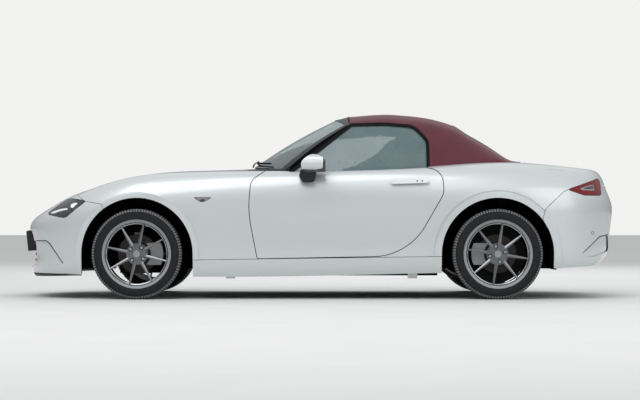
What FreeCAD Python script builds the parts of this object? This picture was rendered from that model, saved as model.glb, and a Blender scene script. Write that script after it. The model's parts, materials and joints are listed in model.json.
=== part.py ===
import FreeCAD, Part
import math
import os

# Two-seat soft-top roadster, at its real size, in millimetres.
# +X points to the rear, +Y to the car's right and +Z up. The origin is on the ground, at mid length.

V = FreeCAD.Vector
doc = FreeCAD.newDocument("roadster")

# Driving dimensions
SIZES = [
    ("overall_length", 3915, "nose to tail"),
    ("front_overhang", 780, "nose to front axle"),
    ("wheelbase", 2310, "front axle to rear axle"),
    ("body_width", 1735, "over the rear haunches"),
    ("front_track", 1495, "between the front tyres' middles"),
    ("rear_track", 1505, "between the rear tyres' middles"),
    ("axle_height", 290, "ground to axle, tyre loaded"),
    ("tyre_radius", 290, "radius of the tyre as it stands"),
    ("tyre_width", 195, "section width"),
    ("rim_radius", 221, "outside of the rim flange"),
    ("rim_width", 190, "over the flanges"),
    ("rim_well_radius", 196, "inside of the barrel"),
    ("hub_radius", 62, "wheel boss"),
    ("spoke_pairs", 4, "pairs of slim spokes"),
    ("spoke_half_angle", 21.3, "middle of a pair to each spoke"),
    ("spoke_root", 23, "spoke's width at the hub"),
    ("spoke_tip", 9, "spoke's width at the rim"),
    ("lip_radius", 204, "inside of the rim's bright lip"),
    ("lip_depth", 9, "lip's chamfer, along the axle"),
    ("lug_circle", 100, "pitch circle of the four wheel nuts"),
    ("lug_hole", 14, "radius of the recess round a wheel nut"),
    ("lug_radius", 10, "wheel nut, middle to corner"),
    ("cap_radius", 27, "hub cap, at its foot"),
    ("hat_radius", 70, "middle of the brake disc"),
    ("front_disc_radius", 126, "vented front disc"),
    ("rear_disc_radius", 124, "rear disc"),
    ("disc_thick", 22, "disc"),
    ("arch_radius", 360, "wheel arch opening"),
    ("front_flare", 36, "width of the raised band round the front arch"),
    ("rear_flare", 46, "width of the raised band round the rear arch"),
    ("flare_rise", 3, "band's height over the panel"),
    ("jack_height", 132, "ground to the jacking pads"),
    ("hinge_pin", 4.2, "radius of the boot lid's hinge pins"),
    ("recess_depth", 9, "pockets in the bumpers' corners"),
    ("skin", 20, "body panel with its inner flange"),
    ("shut_gap", 5, "between panels that open and the rest"),
    ("seam", 3, "between panels that are fixed side by side"),
    ("door_thick", 125, "outer skin to the inner trim"),
    ("glass_thick", 5, "side, screen and rear glass"),
    ("top_thick", 14, "soft top with its lining"),
    ("floor_height", 150, "ground to the underside of the floor"),
    ("floor_thick", 22, "floor with its ribs"),
    ("tunnel_half", 125, "half width of the tunnel"),
    ("tunnel_top", 420, "top of the tunnel above ground"),
    ("kingpin_half", 690, "middle of the car to the steering axis"),
    ("steer_arm", 100, "kingpin to tie rod ball"),
    ("seat_middle", 365, "middle of the car to the seat's middle"),
    ("steering_wheel_radius", 183, "outside of the rim"),
    ("wheel_offset", 45, "wheel's middle plane to its mounting face"),
    ("hub_thick", 26, "wheel boss outside the mounting face"),
    ("disc_inset", 67.5, "mounting face to the disc's inner side"),
    ("spindle_radius", 19.7, "stub axle"),
    ("bearing_radius", 20, "bore that turns on the stub axle"),
    ("liner_thick", 14, "wheelhouse"),
    ("engine_length", 430, "block with its sump and head"),
    ("engine_width", 580, "over the manifolds"),
    ("engine_height", 490, "sump to cover"),
    ("radiator_thick", 50, "core with its tanks"),
    ("rail_gap", 660, "between the front side members"),
]

sheet = doc.addObject("Spreadsheet::Sheet", "sizes")
for row, (alias, value, note) in enumerate(SIZES, 1):
    sheet.set("A%d" % row, alias)
    sheet.set("B%d" % row, str(value))
    sheet.set("C%d" % row, note)
    sheet.setAlias("B%d" % row, alias)
doc.recompute()


def size(alias):
    return float(sheet.get(alias))


NOSE = -size("overall_length") / 2
FRONT = NOSE + size("front_overhang")
REAR = FRONT + size("wheelbase")
TAIL = -NOSE
AXLE = size("axle_height")
HALF = size("body_width") / 2
SKIN = size("skin")
GAP = size("shut_gap")
SEAM = size("seam")
ARCH = size("arch_radius")
FRONT_WHEEL = size("front_track") / 2
REAR_WHEEL = size("rear_track") / 2
KINGPIN = size("kingpin_half")
KING_INSET = FRONT_WHEEL - KINGPIN
BOOT_WALL = 1308


node_names = ["engine", "radiator"]


def keep(name, shape):
    """Stores a finished shape as one sub-part of the document."""
    item = doc.addObject("Part::Feature", name)
    item.Label = name
    item.Shape = shape
    item.Placement = FreeCAD.Placement()
    node_names.append(name)
    return item


# Helpers

def knots(count):
    """Clamped uniform cubic knots for so many poles: values and multiplicities."""
    spans = count - 3
    return list(range(spans + 1)), [4] + [1] * (spans - 1) + [4]


def surface(poles):
    values_u, mults_u = knots(len(poles))
    values_v, mults_v = knots(len(poles[0]))
    made = Part.BSplineSurface()
    made.buildFromPolesMultsKnots(poles, mults_u, mults_v, values_u, values_v, False, False, 3, 3)
    return made


def curve(poles):
    values, mults = knots(len(poles))
    made = Part.BSplineCurve()
    made.buildFromPolesMultsKnots(poles, mults, values, False, 3)
    return made


def solid_between(outer, inner):
    """Closed solid between two pole grids of the same size."""
    def sides(grid):
        return [grid[0], grid[-1], [r[0] for r in grid], [r[-1] for r in grid]]
    faces = [surface(outer).toShape(), surface(inner).toShape()]
    for a, b in zip(sides(outer), sides(inner)):
        faces.append(Part.makeRuledSurface(curve(a).toShape(), curve(b).toShape()))
    shell = Part.Shell(faces)
    shell.sewShape()
    made = Part.makeSolid(Part.Shell(shell.Faces))
    if made.Volume < 0:
        made.reverse()
    return made


def offset(grid, depth):
    """Poles moved by depth along the normal at each pole."""
    rows, cols = len(grid), len(grid[0])
    made = []
    for i in range(rows):
        line = []
        for j in range(cols):
            du = grid[min(i + 1, rows - 1)][j] - grid[max(i - 1, 0)][j]
            dv = grid[i][min(j + 1, cols - 1)] - grid[i][max(j - 1, 0)]
            n = du.cross(dv)
            if abs(grid[i][j].y) < 0.01:
                n.y = 0
            n.normalize()
            line.append(grid[i][j] + n * depth)
        made.append(line)
    return made


def thick(grid, start, end):
    return solid_between(offset(grid, start), offset(grid, end))


def rounded(points, place):
    """Closed face whose corners (a, b, radius) are rounded; place turns (a, b) into a vector."""
    count = len(points)
    ends = []
    for k in range(count):
        a = V(points[k - 1][0], points[k - 1][1], 0)
        b = V(points[k][0], points[k][1], 0)
        c = V(points[(k + 1) % count][0], points[(k + 1) % count][1], 0)
        u, w = a - b, c - b
        u.normalize()
        w.normalize()
        angle = u.getAngle(w)
        reach = points[k][2] / math.tan(angle / 2)
        half = u + w
        half.normalize()
        middle = b + half * (points[k][2] / math.sin(angle / 2) - points[k][2])
        ends.append((b + u * reach, middle, b + w * reach))
    edges = []
    for k in range(count):
        first, middle, last = [place(p.x, p.y) for p in ends[k]]
        if (last - first).Length > 0.01:
            edges.append(Part.Arc(first, middle, last).toShape())
        following = place(ends[(k + 1) % count][0].x, ends[(k + 1) % count][0].y)
        if (following - last).Length > 0.01:
            edges.append(Part.makeLine(last, following))
    return Part.Face(Part.Wire(Part.__sortEdges__(edges)))


def side_cut(points, grow=0, y_from=0, y_to=1200):
    """Side-view outline (x, z, radius), grown, extruded across one side of the car."""
    face = rounded(points, lambda a, b: V(a, y_from, b))
    if grow:
        face = face.makeOffset2D(grow, 2)
    return face.extrude(V(0, y_to - y_from, 0))


def front_cut(points, x_from, x_to):
    """Front-view outline (y, z, radius) extruded along the car."""
    return rounded(points, lambda a, b: V(x_from, a, b)).extrude(V(x_to - x_from, 0, 0))


def plan_cut(points, z_from, z_to):
    """Plan outline (x, y, radius) extruded upwards."""
    return rounded(points, lambda a, b: V(a, b, z_from)).extrude(V(0, 0, z_to - z_from))


def both(shape):
    """A right-hand shape with its left-hand twin."""
    return Part.makeCompound([shape, mirrored(shape)])


def mirrored(shape):
    return shape.mirror(V(0, 0, 0), V(0, 1, 0))


def box(x0, x1, y0, y1, z0, z1):
    return Part.makeBox(x1 - x0, y1 - y0, z1 - z0, V(x0, y0, z0))


def put(kind, name, at, turn=None, **dims):
    """Part primitive at a place; a size given as text is an expression on the sheet."""
    item = doc.addObject("Part::" + kind, name)
    for dim, value in dims.items():
        if isinstance(value, str):
            item.setExpression(dim, value)
        else:
            setattr(item, dim, value)
    item.Placement = FreeCAD.Placement(V(*at), turn or FreeCAD.Rotation())
    return item


def tree(kind, name, parts):
    """Fusion, or the first part with the others cut out of it, as document objects."""
    if kind == "fuse":
        item = doc.addObject("Part::MultiFuse", name)
        item.Shapes = parts
        return item
    tool = parts[1]
    if len(parts) > 2:
        tool = doc.addObject("Part::MultiFuse", name + "_tools")
        tool.Shapes = parts[1:]
    item = doc.addObject("Part::Cut", name)
    item.Base, item.Tool = parts[0], tool
    return item


def rod(a, b, radius):
    a, b = V(*a), V(*b)
    return Part.makeCylinder(radius, (b - a).Length, a, b - a)


def joined(shapes):
    made = shapes[0].multiFuse(shapes[1:])
    return made.removeSplitter()


def solids(shape):
    """Shape as one solid, or a compound of its solids if they don't touch."""
    found = [s for s in shape.Solids if s.Volume > 20000]
    return found[0] if len(found) == 1 else Part.makeCompound(found)


# Body side: one surface from the nose round the right side to the tail.
# Columns: axle it is measured from, distance behind that axle, half width, heading of the side in plan (degrees),
# bottom inset and height, three insets between, shoulder inset and height, crest inset and height,
# inner edge inset and height.
BELT = [
    ("F", -790, 0, 90, 55, 140, 28, 34, 16, 0, 470, 45, 527, 130, 571),
    ("F", -782, 240, 80, 50, 140, 26, 32, 16, 0, 472, 48, 530, 132, 574),
    ("F", -732, 450, 66, 45, 142, 20, 22, 12, 4, 490, 60, 550, 150, 597),
    ("F", -620, 610, 48, 40, 145, 12, 10, 6, 20, 540, 90, 605, 185, 651),
    ("F", -480, 725, 30, 35, 150, 6, 2, 0, 30, 600, 105, 665, 210, 686),
    ("F", -300, 815, 14, 30, 155, 3, 0, 0, 35, 670, 120, 742, 235, 727),
    ("F", 0, 867, 0, 30, 150, 0, 0, 0, 30, 748, 125, 822, 255, 799),
    ("F", 330, 846, -2, 30, 145, 0, 0, 2, 32, 760, 115, 836, 230, 820),
    ("F", 720, 822, 0, 35, 143, 0, 8, 4, 20, 755, 66, 826, 150, 828),
    ("F", 1200, 816, 0, 38, 150, 0, 14, 4, 18, 748, 50, 818, 84, 821),
    ("R", -560, 834, 2, 38, 165, 0, 12, 2, 20, 760, 56, 832, 95, 836),
    ("R", -330, 854, 2, 35, 170, 0, 2, 0, 30, 775, 100, 858, 165, 866),
    ("R", 0, 872, 0, 30, 175, 0, 0, 0, 40, 790, 130, 880, 225, 886),
    ("R", 300, 857, -14, 30, 195, 2, 0, 0, 45, 772, 138, 868, 255, 872),
    ("R", 520, 790, -32, 35, 205, 8, 2, 0, 45, 750, 112, 846, 215, 846),
    ("R", 690, 665, -50, 60, 212, 15, 8, 0, 50, 732, 92, 830, 150, 833),
    ("R", 792, 460, -68, 100, 220, 30, 16, 0, 54, 712, 84, 822, 132, 820),
    ("R", 828, 230, -82, 120, 225, 38, 20, 0, 56, 704, 82, 820, 132, 814),
    ("R", 835, 0, -90, 125, 225, 40, 20, 0, 56, 700, 82, 820, 132, 813),
]
SIDE_SHARES = (0.27, 0.55, 0.80)

# Middle of the bonnet and of the rear deck: x, height
BONNET_LINE = [(-2050, 430), (-1905, 520), (-1827, 571), (-1700, 652), (-1560, 712), (-1400, 757), (-1180, 817),
               (-950, 838), (-700, 842), (-430, 852), (-200, 862)]
DECK_LINE = [(1100, 893), (1240, 892), (1330, 886), (1432, 877), (1543, 866), (1640, 856), (1737, 846), (1831, 836),
             (1930, 824)]


def along(line, x):
    """Height of a line of (x, height) points at x."""
    for (x0, z0), (x1, z1) in zip(line, line[1:]):
        if x <= x1 or (x1, z1) == line[-1]:
            return z0 + (z1 - z0) * (x - x0) / (x1 - x0)


def bonnet_height(x, y):
    return along(BONNET_LINE, x) - 25 * (y / 620) ** 2


def deck_height(x, y):
    return along(DECK_LINE, x) - 6 * (y / 620) ** 2


def belt_poles():
    """Pole grid of the body side, nose to tail by bottom to inner edge."""
    width = HALF / 867.5
    grid = []
    for at, dx, y, heading, ib, zb, i2, i3, i4, i_s, z_s, i_c, z_c, i_i, z_i in BELT:
        x = (FRONT if at == "F" else REAR) + dx
        inward = V(math.sin(math.radians(heading)), -math.cos(math.radians(heading)), 0)
        edge = V(x, y * width, 0) + inward * i_i
        if edge.x < FRONT + 400:
            z_i = bonnet_height(edge.x, edge.y)
        if edge.x > REAR - 30:
            z_i = deck_height(edge.x, edge.y)
        rails = [(ib, zb), (0.3 * ib, zb + 50)]
        rails += [(i, zb + share * (z_s - zb)) for i, share in zip((i2, i3, i4), SIDE_SHARES)]
        rails += [(i_s, z_s), (i_c, z_c), (i_i, z_i)]
        grid.append([V(x, y * width, z) + inward * inset for inset, z in rails])
    return grid


belt = belt_poles()


def inside_ring(inset, z_from, z_to):
    """Space inside the belt's inner edge, for the lids."""
    poles = []
    for row, station in zip(belt, BELT):
        heading = math.radians(station[3])
        inward = V(math.sin(heading), -math.cos(heading), 0)
        poles.append(V(row[-1].x, row[-1].y, z_from) + inward * inset)
    edge = curve(poles).toShape()
    face = Part.Face(Part.Wire([edge, mirrored(edge)]))
    return face.extrude(V(0, 0, z_to - z_from))


def arch_space(axle, radius):
    """Wheel opening of the right side: round above the axle, straight below it."""
    top = rod((axle, 480, AXLE), (axle, 1200, AXLE), radius)
    return top.fuse(box(axle - radius, axle + radius, 480, 1200, 50, AXLE))


# Side panel with a raised band round each wheel, and the lids' opening trimmed upright
RISE = size("flare_rise")
LID_EDGE = 1
arches = arch_space(FRONT, ARCH).fuse(arch_space(REAR, ARCH))
lid_opening = inside_ring(-LID_EDGE, 300, 1200)
flare_skin = thick(belt, -RISE, SKIN / 2)
panel = thick(belt, 0, SKIN)
for axle, name in ((FRONT, "front_flare"), (REAR, "rear_flare")):
    panel = panel.fuse(flare_skin.common(arch_space(axle, ARCH + size(name))))
panel = panel.cut(arches).cut(lid_opening)

# Outlines of the outer panels in the side view: x, z, corner radius
door_outline = [
    (-352, 880, 5), (-352, 826, 5), (-447, 758, 80), (-463, 560, 700), (-405, 262, 14), (557, 280, 390),
    (786, 680, 120), (776, 824, 90), (684, 841, 5), (684, 880, 5),
]
lamp_outline = [(-1786, 548, 8), (-1640, 650, 90), (-1510, 631, 6), (-1650, 522, 40), (-1716, 533, 60)]
tail_lamp_outline = [(1586, 703, 5), (1750, 757, 120), (1826, 784, 20), (1826, 668, 20), (1700, 668, 90)]
bumper_outline = [(-2100, 0, 1), (-2100, 900, 1), (-1900, 900, 1), (-1520, 627, 1), (-1405, 609, 8), (-1380, 540, 1),
                  (-1380, 0, 1)]
rear_bumper_outline = [(1480, 0, 1), (1420, 520, 1), (1440, 580, 1), (1560, 690, 1), (1600, 705, 1), (2100, 760, 1),
                       (2100, 0, 1)]
sill_outline = [(-900, 0, 1), (-900, 250, 1), (1000, 276, 1), (1000, 0, 1)]
window_outline = [(-194, 808, 3), (203, 1124, 25), (420, 1128, 400), (600, 1112, 80), (686, 1020, 60), (686, 808, 3)]
mouth_outline = [(-455, 200, 70), (-395, 446, 80), (395, 446, 80), (455, 200, 70)]
front_pocket = [(-2000, 372, 5), (-1784, 373, 14), (-1758, 354, 10), (-1664, 230, 8), (-1700, 216, 8),
                (-2000, 206, 5)]
rear_pocket = [(1690, 300, 5), (1809, 399, 30), (1885, 411, 20), (1900, 306, 20), (1809, 282, 60), (1757, 268, 30),
               (1704, 270, 12)]


def whole(shape):
    """Right-hand shape that meets the middle plane, joined to its twin."""
    return joined([shape, mirrored(shape)])


# Front bumper, lamps and fenders
pocket_skin = thick(belt, -50, size("recess_depth"))
lamp_space = side_cut(lamp_outline, SEAM)
bumper_space = side_cut(bumper_outline, SEAM)
door_space = side_cut(door_outline, GAP)
sill_space = side_cut(sill_outline, SEAM)
tail_lamp_space = side_cut(tail_lamp_outline, SEAM)
rear_bumper_space = side_cut(rear_bumper_outline, SEAM)
front_half = panel.common(box(-2100, 200, 0, 1200, 0, 1000))
rear_half = panel.common(box(200, 2100, 0, 1200, 0, 1000))
LIP_TOP = 158
bumper = front_half.common(side_cut(bumper_outline)).cut(lamp_space).cut(front_cut(mouth_outline, -2100, -1700))
bumper = bumper.cut(pocket_skin.common(side_cut(front_pocket))).cut(box(-2100, -1400, -1, 1200, 0, LIP_TOP + SEAM))
keep("front_bumper", whole(bumper))
keep("headlamps", both(solids(front_half.common(side_cut(lamp_outline)))))
fender = front_half.cut(bumper_space).cut(lamp_space).cut(door_space).cut(sill_space)
fender = fender.common(box(-1900, -355, 0, 1200, 0, 1000))
keep("front_fenders", both(solids(fender)))
back_bumper = rear_half.common(side_cut(rear_bumper_outline)).cut(tail_lamp_space)
keep("rear_bumper", whole(back_bumper.cut(pocket_skin.common(side_cut(rear_pocket)))))
keep("tail_lamps", both(solids(rear_half.common(side_cut(tail_lamp_outline)))))
quarter = rear_half.cut(rear_bumper_space).cut(tail_lamp_space).cut(door_space).cut(sill_space)


def hinge_rod(radius):
    """Boot lid's hinge pin on the right, from the quarter panel into the lid's edge."""
    return rod((BOOT_HINGE[0], 590, BOOT_HINGE[1]), (BOOT_HINGE[0], 645, BOOT_HINGE[1]), radius)


BOOT_HINGE = (1334, 870)
SEAT = 0.3
keep("rear_quarters", both(joined([solids(quarter), hinge_rod(size("hinge_pin"))])))

# Grille: a slotted plate behind the mouth, the bare number plate carrier before it and the lower lip
grille_outline = [(-480, 180, 70), (-415, 462, 80), (415, 462, 80), (480, 180, 70)]
grille = thick(belt, SKIN + SEAT, SKIN + 12 - SEAT).common(front_cut(grille_outline, -2100, -1700))
slots = [front_cut([(-430, z, 8), (-430, z + 26, 8), (430, z + 26, 8), (430, z, 8)], -2100, -1700)
         for z in range(212, 400, 38)]
grille = grille.cut(slots[0].multiFuse(slots[1:]))
carrier = side_cut([(-1964, 432, 4), (-1948, 440, 4), (-1900, 424, 4), (-1900, 305, 4), (-1950, 302, 4)], 0, -1, 262)
grille = whole(grille.fuse(carrier.cut(thick(belt, SKIN + 11, 300))))
lip = thick(belt, -4, SKIN - SEAT).common(box(-2100, FRONT - ARCH, -1, 1200, 0, LIP_TOP))
keep("grille", Part.makeCompound([grille, whole(lip)]))

# Bonnet and boot lid, inside the belt's inner edge
def lid_grid(line, height, half):
    """Poles of a lid: rows along the car, columns across it."""
    shares = (-1.1, -0.85, -0.6, -0.3, 0, 0.3, 0.6, 0.85, 1.1)
    return [[V(x, share * half, height(x, share * half)) for share in shares] for x, z in line]


bonnet_grid = lid_grid(BONNET_LINE, bonnet_height, 660)
deck_grid = lid_grid(DECK_LINE, deck_height, 660)
bonnet_back = [(-2200, -700, 1), (-430, -700, 1), (-470, -560, 200), (-560, 0, 1500), (-470, 560, 200),
               (-430, 700, 1), (-2200, 700, 1)]
bonnet_plan = plan_cut(bonnet_back, 0, 1200)
bonnet = thick(bonnet_grid, 0, -22)
deck = thick(deck_grid, 0, -20)
inner = inside_ring(GAP - LID_EDGE, 0, 1200)
keep("bonnet", bonnet.common(inner).common(bonnet_plan))
BOOT_FRONT = 1322
boot_lid = deck.common(inner).common(box(BOOT_FRONT, 2100, -900, 900, 0, 1000))
keep("boot_lid", solids(boot_lid.cut(both(hinge_rod(size("hinge_pin") + SEAT)))))


# Sills and doors
sill_bar = thick(belt, 0, 125).cut(arches).common(box(-900, 900, 0, 1200, 0, 400)).common(side_cut(sill_outline))
pads = [box(x - 30, x + 30, 712, 748, size("jack_height"), 200) for x in (-580, 590)]
sill_bar = joined([sill_bar] + pads)
keep("sills", both(solids(sill_bar)))

door_skin = panel.common(side_cut(door_outline))
DOOR_TOP = 812
door_inner_face = HALF - 58 - size("door_thick")
door_slot_inner = HALF - 128.5
door_core = thick(belt, SKIN - 1, 260).common(side_cut(door_outline, -24))
door_core = door_core.common(box(-1000, 1200, door_inner_face, 1200, 0, DOOR_TOP))
door = joined([door_skin, door_core])


# Cabin above the belt: x, middle height, then the heights and half widths of the roof's shoulder,
# the rail over the window, the window's middle and the foot inside the door
GREEN = [
    (-330, 1196, 1160, 500, 1105, 590, 965, 668, 820, 736, 760, 752),
    (-80, 1196, 1160, 500, 1105, 590, 965, 668, 820, 736, 760, 752),
    (150, 1196, 1158, 500, 1105, 590, 965, 668, 820, 735, 760, 751),
    (340, 1223, 1187, 502, 1118, 592, 968, 668, 820, 733, 760, 749),
    (490, 1219, 1183, 502, 1118, 592, 968, 667, 822, 730, 762, 744),
    (650, 1209, 1173, 502, 1112, 590, 965, 665, 828, 724, 768, 738),
    (790, 1177, 1140, 500, 1084, 586, 954, 660, 848, 712, 788, 722),
    (880, 1156, 1112, 496, 1048, 580, 948, 648, 868, 696, 808, 706),
    (960, 1092, 1058, 492, 1003, 576, 936, 638, 878, 682, 818, 690),
    (1060, 1037, 1008, 486, 966, 570, 922, 626, 884, 662, 824, 668),
    (1170, 959, 944, 480, 924, 556, 904, 610, 884, 638, 824, 642),
    (1250, 888, 886, 470, 884, 540, 880, 592, 872, 616, 812, 620),
    (BOOT_WALL, 893, 890, 460, 884, 525, 874, 576, 858, 600, 800, 604),
]


def cabin_grid():
    grid = []
    for x, z_c, z_s, y_s, z_r, y_r, z_m, y_m, z_b, y_b, z_f, y_f in GREEN:
        half = [(0.6 * y_s, z_c + 0.25 * (z_s - z_c)), (y_s, z_s), (y_r, z_r), (y_m, z_m), (y_b, z_b), (y_f, z_f)]
        grid.append([V(x, -y, z) for y, z in reversed(half)] + [V(x, 0, z_c)] + [V(x, y, z) for y, z in half])
    return grid


cabin = cabin_grid()
GLASS = size("glass_thick")
TOP = size("top_thick")
SEAL = 9
glass_inset = 5
side_glass = thick(cabin, -glass_inset, -glass_inset - GLASS).common(side_cut(window_outline))
side_glass = solids(side_glass.common(box(-400, 1000, 0, 1000, 700, 1300)))
glass_slot = box(-194 - SEAL, 686 + SEAL, 0, door_slot_inner, DOOR_TOP, DOOR_TOP + 100)
door_only = solids(door.cut(glass_slot).cut(side_glass))

# Soft top: the cabin's shell without the side windows and the rear window
fabric = thick(cabin, 0, -TOP).cut(both(side_cut(window_outline, SEAL)))
fabric = fabric.common(box(150, BOOT_WALL, -900, 900, 700, 1300))
hem = [(100, 812, 1), (640, 814, 1), (700, 828, 10), (830, 848, 60), (950, 862, 60), (1180, 868, 60), (1400, 868, 1),
       (1400, 2000, 1), (100, 2000, 1)]
fabric = fabric.common(side_cut(hem, 0, -900, 900))
rear_window_cut = front_cut([(-400, 935, 60), (-355, 1128, 70), (355, 1128, 70), (400, 935, 60)], 800, 1400)
rear_glass = thick(cabin, -4, -4 - GLASS).common(rear_window_cut)
fabric = fabric.cut(rear_window_cut.common(box(800, 1400, -500, 500, 900, 1170)))
fabric = fabric.cut(both(thick(belt, 0, SKIN + 12 + SEAT)))
keep("rear_window", solids(rear_glass))

# Windscreen: points by share of the half width and share of the height, past 1 over the header
HEADER_BACK = 175
HEADER_RISE = 0.24
HEADER_END = 1.1
HEADER_SEAM = 0.8


def screen_point(s, t, sag=16):
    low = V(-450 + 235 * abs(s) ** 2.6, 712 * s, 860 - 26 * s * s)
    high = V(95 + 77 * abs(s) ** 2.5, 552 * s, 1178 - 56 * abs(s) ** 2.2)
    if t > 1:
        width = HEADER_BACK + 14 * s * s - high.x
        return high + V(width, 0, HEADER_RISE * width) * ((t - 1) / (HEADER_END - 1))
    return low + (high - low) * t + V(-0.47, 0, 0.88) * (4 * sag * t * (1 - t))


def screen_grid(s0, s1, t0, t1):
    rows, cols = 6, 11 if s0 < 0 else 5
    grid = []
    for i in range(rows):
        t = t0 + (t1 - t0) * i / (rows - 1)
        grid.append([screen_point(s0 + (s1 - s0) * k / (cols - 1), t) for k in range(cols)])
    return grid


screen = thick(screen_grid(-0.93, 0.93, 0.0, 1.0), 0, -GLASS)
keep("windscreen_glass", screen)
pillar = thick(screen_grid(0.93, 1.0, -0.08, 1.0), 3, -38)
header = thick(screen_grid(-1.0, 1.0, 1.0, HEADER_END), 4, -34)
cowl_back = [(-800, -760, 1), (-215, -760, 1), (-215, -690, 20), (-290, -590, 150), (-415, 0, 1500), (-290, 590, 150),
             (-215, 690, 20), (-215, 760, 1), (-800, 760, 1)]
cowl = bonnet.common(inside_ring(SEAT - LID_EDGE, 0, 1200)).common(plan_cut(cowl_back, 0, 1200))
cowl = cowl.cut(plan_cut([(x + GAP, y, r) for x, y, r in bonnet_back], 0, 1300))
frame = joined([pillar, mirrored(pillar), header, cowl])
screen_cutter = thick(screen_grid(-0.93, 0.93, 0.0, 1.0), 60, -GLASS)
frame = frame.cut(screen_cutter).cut(both(side_cut(window_outline, SEAL)))
door_top = thick(belt, -60, SKIN + GAP).common(side_cut(door_outline, GAP))
core_space = side_cut(door_outline, GAP - 24, door_inner_face - GAP)
core_space = core_space.common(box(-1000, 1200, 0, 1200, 0, DOOR_TOP + GAP))
frame = solids(frame.cut(both(door_top.fuse(core_space))))
keep("windscreen_frame", frame)
header_space = thick(screen_grid(-1.08, 1.08, 0.6, HEADER_END), 60, -60)
header_space.translate(V(HEADER_SEAM, 0, 0))
keep("soft_top", solids(fabric.cut(header_space)))


# Tyre and wheel, about their own axle: +Y is outwards, the wheel's middle plane at y = 0
ALONG_Y = FreeCAD.Rotation(V(1, 0, 0), -90)
tyre_block = put("Cylinder", "tyre_block", (0, -size("tyre_width") / 2, 0), ALONG_Y,
                 Radius="sizes.tyre_radius", Height="sizes.tyre_width")
tyre_round = doc.addObject("Part::Fillet", "tyre_round")
tyre_round.Base = tyre_block
doc.recompute()
tyre_round.Edges = [(k + 1, 34, 34) for k, e in enumerate(tyre_block.Shape.Edges) if e.Closed]
tyre_hole = put("Cylinder", "tyre_hole", (0, -size("tyre_width"), 0), ALONG_Y,
                Radius="sizes.rim_radius", Height="2 * sizes.tyre_width")
tyre = tree("cut", "tyre", [tyre_round, tyre_hole])

MOUNT = size("wheel_offset")
DISC_IN = MOUNT - size("disc_inset")
barrel = put("Cylinder", "barrel", (0, -size("rim_width") / 2, 0), ALONG_Y, Radius="sizes.rim_radius - 0.3",
             Height="sizes.rim_width")
bore = put("Cylinder", "barrel_bore", (0, -size("rim_width"), 0), ALONG_Y, Radius="sizes.rim_well_radius",
           Height="2 * sizes.rim_width")
rim = tree("cut", "rim", [barrel, bore])
boss = put("Cylinder", "boss", (0, MOUNT, 0), ALONG_Y, Radius="sizes.hub_radius", Height="sizes.hub_thick")
wheel_parts = [rim, boss]
lip_cone = put("Cone", "lip_cone", (0, size("rim_width") / 2 - size("lip_depth"), 0), ALONG_Y,
               Radius1="sizes.rim_well_radius", Radius2="sizes.lip_radius", Height="sizes.lip_depth")
wheel_parts[0] = tree("cut", "rim_with_lip", [rim, lip_cone])

# Spokes: sections by distance from the axle, width, and the ridge's place along the axle
root, tip = size("spoke_root"), size("spoke_tip")
face = MOUNT + size("hub_thick")
SPOKE_SECTIONS = [(40, root, face - 1, 24), (115, 0.75 * root, face + 6, 22),
                  (size("rim_well_radius") + 3, tip, face + 17, 26)]


def spoke_section(reach, width, ridge, depth):
    """Five-sided section of a spoke with a ridge along its middle."""
    half, edge = width / 2, ridge - 0.3 * width
    corners = [(-half, ridge - depth), (half, ridge - depth), (half, edge), (0, ridge), (-half, edge)]
    points = [V(a, b, reach) for a, b in corners]
    return Part.makePolygon(points + points[:1])


spoke = Part.makeLoft([spoke_section(*section) for section in SPOKE_SECTIONS], True, True)
for pair in range(int(size("spoke_pairs"))):
    for sign in (-1, 1):
        item = doc.addObject("Part::Feature", "spoke_%d_%d" % (pair, sign + 1))
        item.Shape = spoke
        angle = 360 * pair / size("spoke_pairs") + sign * size("spoke_half_angle")
        item.Placement = FreeCAD.Placement(V(0, 0, 0), FreeCAD.Rotation(V(0, 1, 0), 90 - angle))
        wheel_parts.append(item)
hat = put("Cylinder", "disc_hat", (0, DISC_IN + 5, 0), ALONG_Y, Radius="sizes.hat_radius", Height=MOUNT - DISC_IN - 5)
wheel_parts.append(hat)
wheels = {}
for axle in ("front", "rear"):
    disc = put("Cylinder", axle + "_disc", (0, DISC_IN, 0), ALONG_Y, Radius="sizes.%s_disc_radius" % axle,
               Height="sizes.disc_thick")
    body = tree("fuse", axle + "_wheel_body", wheel_parts + [disc])
    bearing = put("Cylinder", axle + "_bearing", (0, -60, 0), ALONG_Y, Radius="sizes.bearing_radius",
                  Height=60 + MOUNT - 6)
    tools = [bearing]
    lugs = []
    for k in range(4):
        angle = math.radians(45 + 90 * k)
        x, z = 0.5 * size("lug_circle") * math.cos(angle), 0.5 * size("lug_circle") * math.sin(angle)
        tools.append(put("Cylinder", "%s_lug_hole_%d" % (axle, k), (x, MOUNT + 6, z), ALONG_Y,
                         Radius="sizes.lug_hole", Height=60))
        lugs.append(put("Prism", "%s_lug_%d" % (axle, k), (x, MOUNT + 4, z), ALONG_Y, Polygon=6,
                        Circumradius="sizes.lug_radius", Height=20))
    drilled = tree("cut", axle + "_wheel_drilled", [body] + tools)
    cap = put("Cone", axle + "_cap", (0, face - 1, 0), ALONG_Y, Radius1="sizes.cap_radius",
              Radius2="sizes.cap_radius - 5", Height=6)
    wheels[axle] = tree("fuse", axle + "_wheel", [drilled, cap] + lugs)
doc.recompute()

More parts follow.
